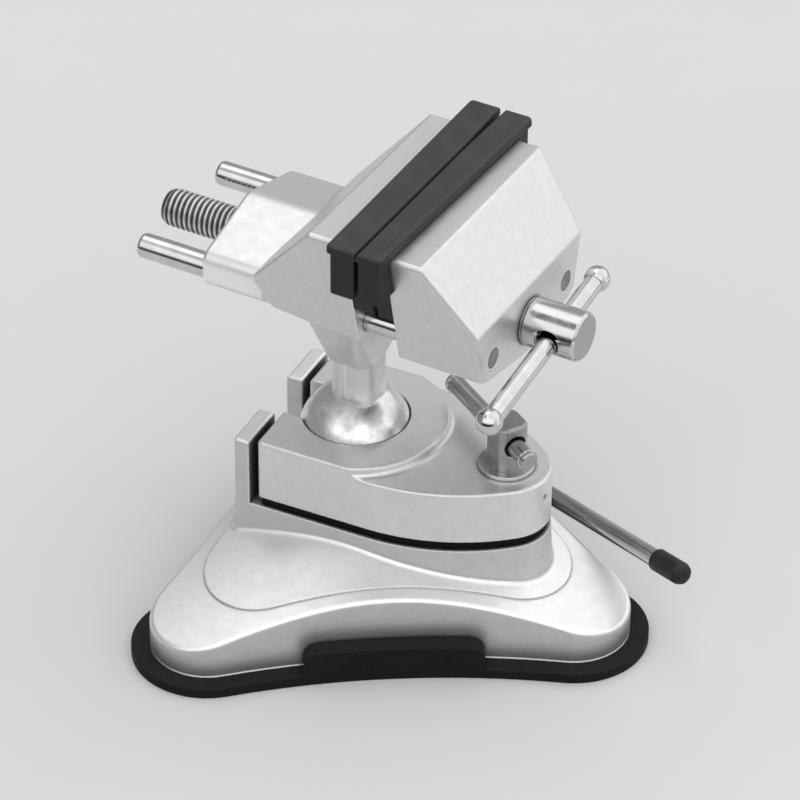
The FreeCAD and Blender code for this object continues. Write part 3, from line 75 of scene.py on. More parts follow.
def axis_frame(origin, axis):
    """A matrix whose Z lies along axis and whose X is as near upright as it can be."""
    along = Vector(axis).normalized()
    upright = Vector((0, 0, 1))
    across = (upright - along * upright.dot(along)).normalized()
    turn = Matrix((across, along.cross(across), along)).transposed().to_4x4()
    return Matrix.Translation(Vector(origin)) @ turn


def place_of(joint):
    """A point on a turning joint's axis."""
    return Vector(JOINTS[joint]["pos_m"])


def axis_of(joint):
    """The direction of a joint's axis."""
    return Vector(JOINTS[joint]["axis"]).normalized()


SCREW_ORIGIN = place_of("lead_screw_turn")
SCREW_AXIS = axis_of("lead_screw_turn")
SCREW_FRAME = axis_frame(SCREW_ORIGIN, SCREW_AXIS)
BALL_CENTRE = place_of("ball_swivel")
CLAMP_SPOT = place_of("clamp_turn")
BAR_AXIS = axis_of("t_bar_slide")
TOMMY_AXIS = axis_of("tommy_slide")
SHAFT_SPOT = place_of("suction_lever")
SHAFT_AXIS = axis_of("suction_lever")

BALL_RADIUS = 0.0150
# From the ball's centre up to where the parting line on the neck ends.
NECK_TOP = 0.0500
# Along the screw from its origin to the front of the rear block, whose upright faces get painted
# light.
BLOCK_FRONT = -0.0348
# From the clamp screw's origin up to the T-bar's axis.
BAR_LIFT = Vector((0, 0, 0.0005))
# From the gasket's underside down to where the painted shade in the slots ends.
SHADE_DROP = 0.0006
# A height above every piece, for painted shade in the slots without an upper limit.
NO_CEILING = 1.0


# ---- sizes and colours that a user would change ---------------------------------------------


def colour(name, text, default):
    return FloatVectorProperty(name=name, description=text, subtype="COLOR", size=3,
                               min=0, max=1, default=default)


def length(name, text, default):
    return FloatProperty(name=name, description=text, unit="LENGTH", min=0, default=default,
                         precision=5)


def share(name, text, default):
    return FloatProperty(name=name, description=text, subtype="FACTOR", min=0, max=1,
                         default=default)


class CastingFinish(bpy.types.PropertyGroup):
    metal: colour("Metal", "Colour of the bare casting", (0.75, 0.755, 0.76))
    hollow: colour("Hollows", "Colour in the grain's hollows", (0.70, 0.705, 0.71))
    # Painted shade: the colour that darkens the slots beside the clamp plate.
    painted_shade: colour("Soot", "Colour in the slots beside the clamp plate", (0.012, 0.012, 0.012))
    metallic: share("Metallic", "How metallic the tumbled skin is", 0.86)
    roughness: share("Roughness", "Roughness of the tumbled skin", 0.38)
    grain: length("Grain", "Size of the cast grain", 0.0007)
    waves: length("Waves", "Size of the soft waves in flat faces", 0.008)
    edge: length("Edge", "Radius of the rubbed edges", 0.0007)
    crease: length("Crease", "Reach of the soot in creases", 0.0012)
    parting: length("Parting line", "Width of the line where the mould halves met", 0.0005)
    foot_strip: length("Foot strip", "Height of the bright strip round the casting's foot", 0.0025)
    strip_fade: length("Strip fade", "Height over which that strip fades out", 0.0008)
    slot_reach: length("Slot reach", "Reach of the soot in the slots", 0.006)


class RubberFinish(bpy.types.PropertyGroup):
    cover: colour("Covers", "Colour of the jaw covers", (0.036, 0.036, 0.037))
    foot: colour("Foot", "Colour of the suction pad", (0.008, 0.008, 0.0085))
    dust: colour("Dust", "Colour of the dust in the rubber's skin", (0.10, 0.098, 0.095))
    grip: colour("Grip", "Colour of the lever's cap", (0.010, 0.010, 0.011))
    grain: length("Grain", "Size of the moulded grain", 0.00045)


class SteelFinish(bpy.types.PropertyGroup):
    plate: colour("Plating", "Colour of the plated rods and bars", (0.66, 0.66, 0.67))
    dull: colour("Dull steel", "Colour of the clamp's screw and bar", (0.42, 0.42, 0.43))
    thread: colour("Thread", "Colour of the lead screw's thread", (0.74, 0.74, 0.75))
    # Oil with painted shade in the thread's grooves.
    oil_and_shade: colour("Oil", "Colour of the oil in the grooves", (0.05, 0.047, 0.043))
    turning: length("Turning", "Spacing of the lathe's marks", 0.0003)


class ScrewSizes(bpy.types.PropertyGroup):
    radius: length("Radius", "Outside radius of the lead screw", 0.0050)
    depth: length("Depth", "Depth of the thread", 0.00075)
    pitch: length("Pitch", "Pitch of the thread", 0.0015)
    crest: length("Crest", "Width of the flat on the thread's crest", 0.0003)
    point: length("Point", "Length of the tapered point at the rear end", 0.0016)
    rear: length("Rear", "From the rear end to the plane where the jaws close", 0.0755)
    plain_from: length("Plain from", "Start of the plain neck, in front of that plane", 0.0029)


class StudioSettings(bpy.types.PropertyGroup):
    floor: colour("Floor", "Colour of the floor and backdrop", (0.70, 0.70, 0.70))
    sky: FloatProperty(name="Sky", description="Strength of the soft boxes", min=0, default=0.955)
    azimuth: FloatProperty(name="Azimuth", description="Camera's way round the vise",
                           subtype="ANGLE", default=math.radians(26.33))
    elevation: FloatProperty(name="Elevation", description="Camera's height angle",
                             subtype="ANGLE", default=math.radians(36.3))
    distance: length("Distance", "Camera to the ball joint", 1.2)
    lens: FloatProperty(name="Lens", description="Focal length in millimetres", min=1,
                        default=210.44)


# ---- tints and heights that stay as they are ------------------------------------------------

# Edge wear with a painted highlight, on the castings' rounded edges.
EDGE_WEAR_AND_HIGHLIGHT_CAST = (0.92, 0.925, 0.93)
# Painted shade in the castings' creases.
CREASE_SHADE = (0.16, 0.16, 0.165)
BRIGHT_FOOT = (0.96, 0.96, 0.965)
# Painted light on the upright faces of the head's rear block.
BLOCK_SIDE_LIGHT = (0.95, 0.95, 0.955)
PARTING_LINE = (0.88, 0.88, 0.89)
BALL_STEEL = (0.84, 0.84, 0.85)
BALL_HAZE = (0.50, 0.50, 0.51)
BALL_SCRATCH = (0.34, 0.34, 0.35)
# Edge wear with a painted highlight, on plated and satin steel edges and on the rods' end rims.
EDGE_WEAR_AND_HIGHLIGHT_PLATING = (0.85, 0.85, 0.86)
EDGE_WEAR_AND_HIGHLIGHT_SATIN = (0.82, 0.82, 0.83)
SATIN_SCRATCH = (0.70, 0.70, 0.71)
ROD_END = (0.20, 0.20, 0.205)
RING_STEEL = (0.72, 0.72, 0.73)
SPRING_STEEL = (0.035, 0.035, 0.037)
OILED_BRONZE = (0.34, 0.28, 0.205)
SEAT_NYLON = (0.045, 0.045, 0.048)
# A rubber seat under the clamp plate, coloured as black as the shadow in the gap it fills: painted
# shadow.
GAP_SHADOW_RUBBER = (0.005, 0.005, 0.005)

CAST_GRAIN_HEIGHT = 6e-6
CAST_LUMP_HEIGHT = 5e-6
CAST_WAVE_HEIGHT = 13e-6
CAST_PIT_DEPTH = 4e-6
RUBBER_GRAIN_HEIGHT = 14e-6
LATHE_RING_HEIGHT = 1.6e-6
BALL_SCRATCH_DEPTH = 12e-6
PARTING_HEIGHT = 80e-6
FOOT_STEP = 600e-6


# ---- node helpers ---------------------------------------------------------------------------


class Tree:
    """Adds nodes to a tree and joins them by socket names."""

    def __init__(self, tree):
        self.tree = tree

    def add(self, kind, **settings):
        """A new node with its properties; inputs is a dictionary of what goes into its sockets."""
        item = self.tree.nodes.new(kind)
        item.location = (220 * (len(self.tree.nodes) % 9), -170 * (len(self.tree.nodes) // 9))
        inputs = settings.pop("inputs", {})
        for name, value in settings.items():
            setattr(item, name, value)
        for name, value in inputs.items():
            self.feed(value, item.inputs[name])
        return item

    def feed(self, value, socket):
        """Link an output to a socket, or set the socket to a plain value."""
        if isinstance(value, bpy.types.NodeSocket):
            self.tree.links.new(value, socket)
        elif value is not None:
            socket.default_value = value

    def sum(self, operation, first, second=None, third=None, clamp=False):
        """The output of one step of arithmetic."""
        item = self.add("ShaderNodeMath", operation=operation, use_clamp=clamp)
        for socket, value in zip(item.inputs, (first, second, third)):
            self.feed(value, socket)
        return item.outputs[0]

    def fade(self, amount, first, second):
        """A number that goes from the first to the second as amount goes from 0 to 1."""
        return self.sum("MULTIPLY_ADD", amount, self.sum("SUBTRACT", second, first), first)

    def vector(self, operation, first, second=None, scale=None):
        """The output of one step of vector arithmetic."""
        item = self.add("ShaderNodeVectorMath", operation=operation)
        self.feed(first, item.inputs[0])
        self.feed(second, item.inputs[1])
        if scale is not None:
            self.feed(scale, item.inputs["Scale"])
        return item.outputs["Value" if operation in ("DOT_PRODUCT", "LENGTH") else "Vector"]

    def span(self, value, low, high, to_low=0.0, to_high=1.0):
        """Map value softly from low..high to to_low..to_high, held at the ends."""
        item = self.add("ShaderNodeMapRange", interpolation_type="SMOOTHSTEP", clamp=True)
        for name, number in (("Value", value), ("From Min", low), ("From Max", high),
                             ("To Min", to_low), ("To Max", to_high)):
            self.feed(number, item.inputs[name])
        return item.outputs["Result"]

    def blend(self, amount, first, second, way="MIX"):
        """A colour that goes from the first to the second as amount goes from 0 to 1."""
        item = self.add("ShaderNodeMix", data_type="RGBA", blend_type=way, clamp_factor=True)
        self.feed(amount, item.inputs["Factor"])
        colours = [socket for socket in item.inputs if socket.type == "RGBA"]
        self.feed(first, colours[0])
        self.feed(second, colours[1])
        return next(socket for socket in item.outputs if socket.type == "RGBA")

    def noise(self, where, scale, detail=2.0, roughness=0.5):
        """Soft noise round 0.5, with scale in cells per metre."""
        item = self.add("ShaderNodeTexNoise", inputs={
            "Vector": where, "Scale": scale, "Detail": detail, "Roughness": roughness})
        return item.outputs["Fac"]

    def place(self):
        """Where a point of the surface lies in its piece, whose space is the frame's at rest."""
        return self.add("ShaderNodeTexCoord").outputs["Object"]

    def facing(self):
        """The direction in which a face looks."""
        return self.add("ShaderNodeNewGeometry").outputs["Normal"]

    def part(self, vector, axis):
        """The X, Y or Z part of a vector."""
        return self.add("ShaderNodeSeparateXYZ", inputs={"Vector": vector}).outputs[axis]

    def use(self, group, **inputs):
        """The outputs of a node group, fed by the names of its inputs."""
        item = self.add("ShaderNodeGroup", node_tree=group)
        for name, value in inputs.items():
            self.feed(value, item.inputs[name.replace("_", " ")])
        return item.outputs


def new_group(name, inputs, outputs):
    """An empty node group with named sockets; returns the group, its Tree, its inputs, its end."""
    group = bpy.data.node_groups.new(name, "ShaderNodeTree")
    for socket, kind, default in inputs:
        item = group.interface.new_socket(name=socket, in_out="INPUT", socket_type=kind)
        item.default_value = default
    for socket, kind in outputs:
        group.interface.new_socket(name=socket, in_out="OUTPUT", socket_type=kind)
    tree = Tree(group)
    start = tree.add("NodeGroupInput")
    end = tree.add("NodeGroupOutput")
    return group, tree, start.outputs, end.inputs


def rgba(tint, shade=1.0):
    """An opaque colour: the tint, made darker or paler by shade."""
    return (*(shade * part for part in tint), 1.0)


# ---- effects that several finishes share ----------------------------------------------------


def rubbed_edges():
    """Rubbed edges: 1 where a rounded edge turns away from its face, with the softened normal. The
    mask gives edge wear and a painted edge highlight.
    """
    group, tree, given, out = new_group(
        "Rubbed edges", [("Radius", "NodeSocketFloat", 0.0007)],
        [("Edge", "NodeSocketFloat"), ("Normal", "NodeSocketVector")])
    softened = tree.add("ShaderNodeBevel", samples=4,
                        inputs={"Radius": given["Radius"]}).outputs["Normal"]
    face = tree.facing()
    lean = tree.vector("DOT_PRODUCT", softened, face)
    # Cosines of the lean where the rounding begins, where the rubbing and its painted highlight
    # begin and where they are full.
    flat, turning, edge_highlight = 0.9985, 0.985, 0.86
    tree.feed(tree.span(lean, turning, edge_highlight), out["Edge"])
    turned = tree.vector("SCALE", tree.vector("SUBTRACT", softened, face),
                         scale=tree.span(lean, flat, turning))
    tree.feed(tree.vector("NORMALIZE", tree.vector("ADD", face, turned)), out["Normal"])
    return group


def cast_skin():
    """Skin of a tumbled die casting: fine grain, soft waves, small pits and tone."""
    group, tree, given, out = new_group(
        "Cast skin",
        [("Grain", "NodeSocketFloat", 0.0007), ("Waves", "NodeSocketFloat", 0.008)],
        [("Height", "NodeSocketFloat"), ("Tone", "NodeSocketFloat"), ("Patch", "NodeSocketFloat")])
    where = tree.place()
    grain_scale = tree.sum("DIVIDE", 1.0, given["Grain"])
    wave_scale = tree.sum("DIVIDE", 1.0, given["Waves"])
    grain = tree.noise(where, grain_scale, detail=3.0, roughness=0.62)
    lumps = tree.noise(where, tree.sum("MULTIPLY", wave_scale, 3.1), detail=2.0)
    waves = tree.noise(where, wave_scale, detail=1.0)
    pits = tree.add("ShaderNodeTexVoronoi", feature="F1", inputs={
        "Vector": where, "Scale": tree.sum("MULTIPLY", grain_scale, 0.45), "Randomness": 1.0})
    pit = tree.span(pits.outputs["Distance"], 0.02, 0.13, -1.0, 0.0)
    height = tree.sum("MULTIPLY", lumps, CAST_LUMP_HEIGHT)
    height = tree.sum("MULTIPLY_ADD", grain, CAST_GRAIN_HEIGHT, height)
    height = tree.sum("MULTIPLY_ADD", waves, CAST_WAVE_HEIGHT, height)
    height = tree.sum("MULTIPLY_ADD", pit, CAST_PIT_DEPTH, height)
    tree.feed(height, out["Height"])
    tree.feed(tree.span(grain, 0.34, 0.66), out["Tone"])
    tree.feed(tree.span(lumps, 0.30, 0.70), out["Patch"])
    return group


def rubber_skin():
    """Moulded rubber: fine grain, dull and shiny patches, dust on its tops, and a mask of its
    upright faces for painted shade.
    """
    group, tree, given, out = new_group(
        "Rubber skin",
        [("Grain", "NodeSocketFloat", 0.00045), ("Dust", "NodeSocketFloat", 0.3)],
        [("Height", "NodeSocketFloat"), ("Tone", "NodeSocketFloat"), ("Dust", "NodeSocketFloat"),
         ("Side", "NodeSocketFloat")])
    where = tree.place()
    scale = tree.sum("DIVIDE", 1.0, given["Grain"])
    grain = tree.noise(where, scale, detail=2.0, roughness=0.6)
    patch = tree.noise(where, tree.sum("MULTIPLY", scale, 0.06), detail=4.0, roughness=0.6)
    specks = tree.noise(where, tree.sum("MULTIPLY", scale, 0.55), detail=1.0)
    up = tree.part(tree.facing(), "Z")
    settled_dust_and_shade = tree.span(up, -0.2, 1.0, 0.35, 1.0)
    dust = tree.sum("MULTIPLY", tree.span(specks, 0.56, 0.78), tree.span(patch, 0.42, 0.66))
    dust = tree.sum("MULTIPLY", dust, tree.sum("MULTIPLY", settled_dust_and_shade, given["Dust"]))
    tree.feed(tree.sum("MULTIPLY", grain, RUBBER_GRAIN_HEIGHT), out["Height"])
    tree.feed(tree.span(patch, 0.3, 0.7), out["Tone"])
    tree.feed(dust, out["Dust"])
    tree.feed(tree.span(up, 0.8, 0.1), out["Side"])
    return group


def lathe_marks():
    """Fine rings round an axis and streaks along it, with the distances along and from the axis."""
    group, tree, given, out = new_group(
        "Lathe marks",
        [("Point", "NodeSocketVector", (0.0, 0.0, 0.0)),
         ("Axis", "NodeSocketVector", (1.0, 0.0, 0.0)), ("Spacing", "NodeSocketFloat", 0.0003)],
        [("Height", "NodeSocketFloat"), ("Along", "NodeSocketFloat"), ("Radius", "NodeSocketFloat"),
         ("Streak", "NodeSocketFloat"), ("Drawn", "NodeSocketFloat")])
    offset = tree.vector("SUBTRACT", tree.place(), given["Point"])
    along = tree.vector("DOT_PRODUCT", offset, given["Axis"])
    beside = tree.vector("SUBTRACT", offset, tree.vector("SCALE", given["Axis"], scale=along))
    radius = tree.vector("LENGTH", beside)
    both = tree.add("ShaderNodeCombineXYZ", inputs={"X": along, "Y": radius}).outputs["Vector"]
    scale = tree.sum("DIVIDE", 1.0, given["Spacing"])
    rings = tree.noise(both, scale, detail=3.0, roughness=0.7)
    bands = tree.noise(both, tree.sum("MULTIPLY", scale, 0.08), detail=2.0)
    slow = tree.vector("SCALE", given["Axis"], scale=tree.sum("MULTIPLY", along, 0.02))
    drawn = tree.noise(tree.vector("ADD", beside, slow), tree.sum("MULTIPLY", scale, 0.32),
                       detail=3.0)
    tree.feed(tree.sum("MULTIPLY", rings, LATHE_RING_HEIGHT), out["Height"])
    tree.feed(along, out["Along"])
    tree.feed(radius, out["Radius"])
    tree.feed(tree.span(bands, 0.3, 0.7), out["Streak"])
    tree.feed(tree.span(drawn, 0.40, 0.60), out["Drawn"])
    return group


def painted_shade():
    """Painted shade in creases and slots, from ambient occlusion: none where Open or more of the
    sky shows, full at Closed.
    """
    group, tree, given, out = new_group(
        "Soot",
        [("Reach", "NodeSocketFloat", 0.005), ("Open", "NodeSocketFloat", 0.62),
         ("Closed", "NodeSocketFloat", 0.34), ("Low", "NodeSocketFloat", -1.0),
         ("High", "NodeSocketFloat", 1.0)],
        [("Soot", "NodeSocketFloat")])
    open_share = tree.add("ShaderNodeAmbientOcclusion", samples=6,
                          inputs={"Distance": given["Reach"]}).outputs["AO"]
    level = tree.part(tree.place(), "Z")
    settled_dust_and_shade = tree.span(open_share, given["Open"], given["Closed"])
    soft = 0.0003
    above = tree.span(tree.sum("SUBTRACT", level, given["Low"]), -soft, soft)
    below = tree.span(tree.sum("SUBTRACT", given["High"], level), -soft, soft)
    tree.feed(tree.sum("MULTIPLY", settled_dust_and_shade, tree.sum("MULTIPLY", above, below)), out["Soot"])
    return group


def scuffs():
    """Thin scratches that run in two directions, and the haze of handling."""
    group, tree, given, out = new_group(
        "Scuffs",
        [("Length", "NodeSocketFloat", 0.006), ("Amount", "NodeSocketFloat", 0.5)],
        [("Scratch", "NodeSocketFloat"), ("Haze", "NodeSocketFloat")])
    where = tree.place()
    stretch = (26.0, 1.0, 26.0)
    lines = []
    for turn, strength in (((0.3, 0.2, 0.9), 1.0), ((1.1, -0.4, 0.1), 0.8)):
        mapped = tree.add("ShaderNodeMapping", inputs={
            "Vector": where, "Rotation": turn, "Scale": stretch}).outputs["Vector"]
        cells = tree.add("ShaderNodeTexVoronoi", feature="DISTANCE_TO_EDGE", inputs={
            "Vector": mapped, "Scale": tree.sum("DIVIDE", 1.0, given["Length"])})
        line = tree.span(cells.outputs["Distance"], 0.0, 0.035, strength, 0.0)
        broken = tree.span(tree.noise(where, 240.0, detail=2.0), 0.50, 0.62)
        lines.append(tree.sum("MULTIPLY", line, broken))
    scratch = tree.sum("MULTIPLY", tree.sum("MAXIMUM", *lines), given["Amount"], clamp=True)
    haze = tree.noise(where, 160.0, detail=4.0, roughness=0.65)
    tree.feed(scratch, out["Scratch"])
    tree.feed(tree.span(haze, 0.38, 0.68), out["Haze"])
    return group


EFFECTS = {"edges": rubbed_edges, "cast": cast_skin, "rubber": rubber_skin,
           "lathe": lathe_marks, "scuffs": scuffs, "painted_shade": painted_shade}


def effect(name):
    """The shared node group of that effect, made the first time that it is asked for."""
    label = EFFECTS[name].__name__
    for group in bpy.data.node_groups:
        if group.get("effect") == label:
            return group
    group = EFFECTS[name]()
    group["effect"] = label
    return group


# ---- finishes -------------------------------------------------------------------------------


def new_finish(name):
    """An empty material with its Tree and its Principled shader."""
    finish = bpy.data.materials.new(name)
    finish.use_nodes = True
    finish.node_tree.nodes.clear()
    tree = Tree(finish.node_tree)
    shader = tree.add("ShaderNodeBsdfPrincipled")
    end = tree.add("ShaderNodeOutputMaterial")
    finish.node_tree.links.new(shader.outputs["BSDF"], end.inputs["Surface"])
    return finish, tree, shader.inputs


def set_skin(tree, shader, height, normal=None):
    """Bump the surface by a height in metres, on top of a softened normal."""
    bump = tree.add("ShaderNodeBump", inputs={
        "Height": height, "Strength": 1.0, "Distance": 1.0, "Normal": normal})
    tree.feed(bump.outputs["Normal"], shader["Normal"])


def light_block_sides(tree, look, upright, point, way, distance):
    """Paint light on the upright faces behind the plane that lies that far along the way: a pale
    colour and less metal.
    """
    offset = tree.vector("SUBTRACT", tree.place(), tuple(point))
    along = tree.vector("DOT_PRODUCT", offset, tuple(way))
    soft = 0.0002
    behind = tree.span(along, distance + soft, distance - soft)
    pale = tree.sum("MULTIPLY", behind, upright)
    # Painted light: a pale, less metallic colour, as if these faces caught the light.
    look.metal = tree.blend(pale, look.metal, rgba(BLOCK_SIDE_LIGHT))
    look.shine = tree.span(pale, 0.0, 1.0, look.shine, 0.5)


def brighten_foot(tree, look, low, high):
    """Add a bright strip round the foot that fades out between two heights."""
    rim = tree.span(tree.part(tree.place(), "Z"), high, low)
    look.metal = tree.blend(rim, look.metal, rgba(BRIGHT_FOOT))
    look.height = tree.sum("MULTIPLY_ADD", rim, FOOT_STEP, look.height)


def wear_ball(tree, look, centre, radius, tint):
    """Polish a ball by wear, with haze and scratches; it fades out up the neck."""
    reach = tree.vector("LENGTH", tree.vector("SUBTRACT", tree.place(), tuple(centre)))
    up_neck, surface = radius * 1.40, radius * 1.004
    on_ball = tree.span(reach, up_neck, surface)
    marks = tree.use(effect("scuffs"), Length=0.004, Amount=1.0)
    hazy = tree.sum("MULTIPLY", marks["Haze"], 0.6)
    worn = tree.blend(hazy, rgba(tint), rgba(BALL_HAZE))
    worn = tree.blend(marks["Scratch"], worn, rgba(BALL_SCRATCH))
    rough = tree.sum("MULTIPLY_ADD", marks["Haze"], 0.12, 0.25)
    smooth = tree.sum("MULTIPLY", marks["Scratch"], -BALL_SCRATCH_DEPTH)
    look.metal = tree.blend(on_ball, look.metal, worn)
    look.rough = tree.fade(on_ball, look.rough, rough)
    look.height = tree.fade(on_ball, look.height, smooth)
    look.shine = tree.sum("MAXIMUM", look.shine, on_ball)


def add_parting_line(tree, look, width, point, way, low, high):
    """Raise a fine line where the mould halves met, between two heights above the point."""
    offset = tree.vector("SUBTRACT", tree.place(), tuple(point))
    aside = tree.sum("ABSOLUTE", tree.vector("DOT_PRODUCT", offset, tuple(way)))
    level = tree.part(offset, "Z")
    soft = 0.001
    line = tree.span(aside, width, width * 0.35)
    line = tree.sum("MULTIPLY", line, tree.span(level, low, low + soft))
    line = tree.sum("MULTIPLY", line, tree.span(level, high, high - soft))
    look.height = tree.sum("MULTIPLY_ADD", line, PARTING_HEIGHT, look.height)
    look.metal = tree.blend(tree.sum("MULTIPLY", line, 0.5), look.metal, rgba(PARTING_LINE))


def shade_slots(tree, look, tint, reach, low, high):
    """Paint shade in the narrow slots between two heights: near black, rougher and less metallic.
    """
    black = tree.use(effect("painted_shade"), Reach=reach, Low=low, High=high)["Soot"]
    look.metal = tree.blend(black, look.metal, rgba(tint))
    look.rough = tree.sum("MULTIPLY_ADD", black, 0.4, look.rough)
    look.shine = tree.sum("MULTIPLY", look.shine, tree.sum("SUBTRACT", 1.0, black))


def cast_aluminium(settings, name, shade=1.0, side_shade=1.0, lit_block=None, foot=None, polished=None,
                   parting=None, slots=None):
    """Tumbled zinc-aluminium casting: brighter on rubbed edges, by wear and a painted highlight,
    and darker in its creases by painted shade.

    Shade scales the metal's colour for each casting. A second factor scales it again on upright
    faces:
    painted shade that keeps them darker than the tops, so the castings are lit and shaded copies of
    one metal. The rest is for castings that have it, in this order: painted light on the upright
    faces behind a plane (point, way, distance), foot (low, high), polished (centre, radius,
    colour), parting (point, way, low, high), and painted shade in the slots (reach, low, high).
    """
    finish, tree, shader = new_finish(name)
    skin = tree.use(effect("cast"), Grain=settings.grain, Waves=settings.waves)
    edges = tree.use(effect("edges"), Radius=settings.edge)
    tone = tree.sum("MULTIPLY_ADD", skin["Patch"], 0.6, tree.sum("MULTIPLY", skin["Tone"], 0.4))
    metal = tree.blend(tone, rgba(settings.hollow, shade), rgba(settings.metal, shade))
    up = tree.part(tree.facing(), "Z")
    upright = tree.span(tree.sum("ABSOLUTE", up), 0.60, 0.25)
    # Painted shade: upright faces are made darker than the tops by the side factor.
    metal = tree.blend(upright, metal, rgba((side_shade, side_shade, side_shade)), way="MULTIPLY")
    # Painted shade: creases are darkened where ambient occlusion finds little open sky.
    crease = tree.use(effect("painted_shade"), Reach=settings.crease, Open=0.90, Closed=0.55)["Soot"]
    # Edge wear with a painted highlight: rounded edges lighter, except in the creases.
    edge_highlight = tree.sum("MULTIPLY", edges["Edge"], tree.sum("MULTIPLY_ADD", crease, -0.9, 0.9))
    metal = tree.blend(edge_highlight, metal, rgba(EDGE_WEAR_AND_HIGHLIGHT_CAST))
    metal = tree.blend(tree.sum("MULTIPLY", crease, 0.75), metal, rgba(CREASE_SHADE))
    rough = tree.sum("MULTIPLY_ADD", skin["Patch"], -0.06, settings.roughness + 0.04)
    rough = tree.sum("MULTIPLY_ADD", edges["Edge"], -0.12, rough)
    # What the finish has come to, which the steps below change.
    look = SimpleNamespace(metal=metal, rough=rough, height=skin["Height"], shine=settings.metallic)
    if lit_block:
        light_block_sides(tree, look, upright, *lit_block)
    if foot:
        brighten_foot(tree, look, *foot)
    if polished:
        wear_ball(tree, look, *polished)
    if parting:
        add_parting_line(tree, look, settings.parting, *parting)
    if slots:
        shade_slots(tree, look, settings.painted_shade, *slots)
    tree.feed(look.metal, shader["Base Color"])
    tree.feed(look.rough, shader["Roughness"])
    tree.feed(look.shine, shader["Metallic"])
    set_skin(tree, shader, look.height, normal=edges["Normal"])
    return finish


def moulded_rubber(settings, name, tint, dust, roughness=0.55, gloss=0.42):
    """Moulded rubber with grain, a little dust, painted shade on its upright faces and edge wear
    with a painted highlight.
    """
    finish, tree, shader = new_finish(name)
    skin = tree.use(effect("rubber"), Grain=settings.grain, Dust=dust)
    edges = tree.use(effect("edges"), Radius=0.0006)
    light = tuple(min(1.0, 1.5 * part + 0.004) for part in tint)
    body = tree.blend(tree.sum("MULTIPLY", skin["Tone"], 0.6), rgba(tint), rgba(light))
    # Painted shade: the rubber's upright faces darker than its tops.
    body = tree.blend(skin["Side"], body, rgba(tint, 0.35))
    # Edge wear with a painted highlight: the rubber's rounded edges lighter.
    body = tree.blend(tree.sum("MULTIPLY", edges["Edge"], 0.5), body, rgba(light))
    body = tree.blend(skin["Dust"], body, rgba(settings.dust))
    tree.feed(body, shader["Base Color"])
    rough = tree.sum("MULTIPLY_ADD", skin["Tone"], 0.12, roughness)
    tree.feed(tree.sum("MULTIPLY_ADD", edges["Edge"], -0.08, rough), shader["Roughness"])
    shader["Specular IOR Level"].default_value = gloss
    set_skin(tree, shader, skin["Height"], normal=edges["Normal"])
    return finish


def turned_steel(settings, name, tint, point, axis, roughness=0.10, ends=None, drawn=0.0):
    """Plated or bright steel with lathe rings round the axis through a point.

    Ends is (colour, distance along, radius of a bright rim: edge wear with a painted highlight) for
    a sawn end.
    Drawn is the strength of the streaks that drawing leaves along a rod.
    """
    finish, tree, shader = new_finish(name)
    lathe = tree.use(effect("lathe"), Point=tuple(point), Axis=tuple(axis),
                     Spacing=settings.turning)
    marks = tree.use(effect("scuffs"), Length=0.008, Amount=0.6)
    edges = tree.use(effect("edges"), Radius=0.0004)
    dark, deep = rgba(tint, 0.72), rgba(tint, 0.35)
    metal = tree.blend(tree.sum("MULTIPLY", lathe["Streak"], 0.35), rgba(tint), dark)
    metal = tree.blend(tree.sum("MULTIPLY", lathe["Drawn"], drawn), metal, deep)
    metal = tree.blend(tree.sum("MULTIPLY", marks["Scratch"], 0.6), metal, dark)
    rough = tree.sum("MULTIPLY_ADD", marks["Haze"], 0.08, roughness)
    if ends:
        end_tint, distance, rim = ends
        at_end = tree.span(lathe["Along"], distance - 0.00002, distance)
        sawn = tree.blend(tree.sum("MULTIPLY", marks["Haze"], 0.5), rgba(end_tint), dark)
        at_rim = tree.span(lathe["Radius"], rim - 0.0003, rim)
        # Edge wear with a painted highlight: a bright rim round the end face.
        sawn = tree.blend(at_rim, sawn, rgba(EDGE_WEAR_AND_HIGHLIGHT_PLATING))
        metal = tree.blend(at_end, metal, sawn)
        rough = tree.sum("MULTIPLY_ADD", at_end, 0.2, rough)
    # Edge wear with a painted highlight on the rounded edges.
    metal = tree.blend(tree.sum("MULTIPLY", edges["Edge"], 0.7), metal, rgba(EDGE_WEAR_AND_HIGHLIGHT_PLATING))
    tree.feed(metal, shader["Base Color"])
    tree.feed(rough, shader["Roughness"])
    shader["Metallic"].default_value = 1.0
    set_skin(tree, shader, lathe["Height"], normal=edges["Normal"])
    return finish


def satin_steel(name, tint, roughness=0.3):
    """Steel without lathe rings: blocks and stamped pieces."""
    finish, tree, shader = new_finish(name)
    skin = tree.use(effect("cast"), Grain=0.0005, Waves=0.012)
    marks = tree.use(effect("scuffs"), Length=0.005, Amount=0.8)
    edges = tree.use(effect("edges"), Radius=0.0006)
    dark = rgba(tint, 0.6)
    metal = tree.blend(tree.sum("MULTIPLY", skin["Patch"], 0.5), rgba(tint), dark)
    metal = tree.blend(marks["Scratch"], metal, rgba(SATIN_SCRATCH))
    # Edge wear with a painted highlight on the rounded edges.
    metal = tree.blend(edges["Edge"], metal, rgba(EDGE_WEAR_AND_HIGHLIGHT_SATIN))
    tree.feed(metal, shader["Base Color"])
    tree.feed(tree.sum("MULTIPLY_ADD", marks["Haze"], 0.14, roughness), shader["Roughness"])
    shader["Metallic"].default_value = 1.0
    set_skin(tree, shader, tree.sum("MULTIPLY", skin["Height"], 0.5), normal=edges["Normal"])
    return finish


def bearing_stuff(name, tint, metallic, roughness):
    """Bronze or plastic of a plain bearing, with soft wear."""
    finish, tree, shader = new_finish(name)
    skin = tree.use(effect("cast"), Grain=0.0004, Waves=0.004)
    dark = rgba(tint, 0.7)
    tree.feed(tree.blend(skin["Patch"], rgba(tint), dark), shader["Base Color"])
    tree.feed(tree.sum("MULTIPLY_ADD", skin["Tone"], 0.1, roughness), shader["Roughness"])
    shader["Metallic"].default_value = metallic
    set_skin(tree, shader, tree.sum("MULTIPLY", skin["Height"], 0.4))
    return finish


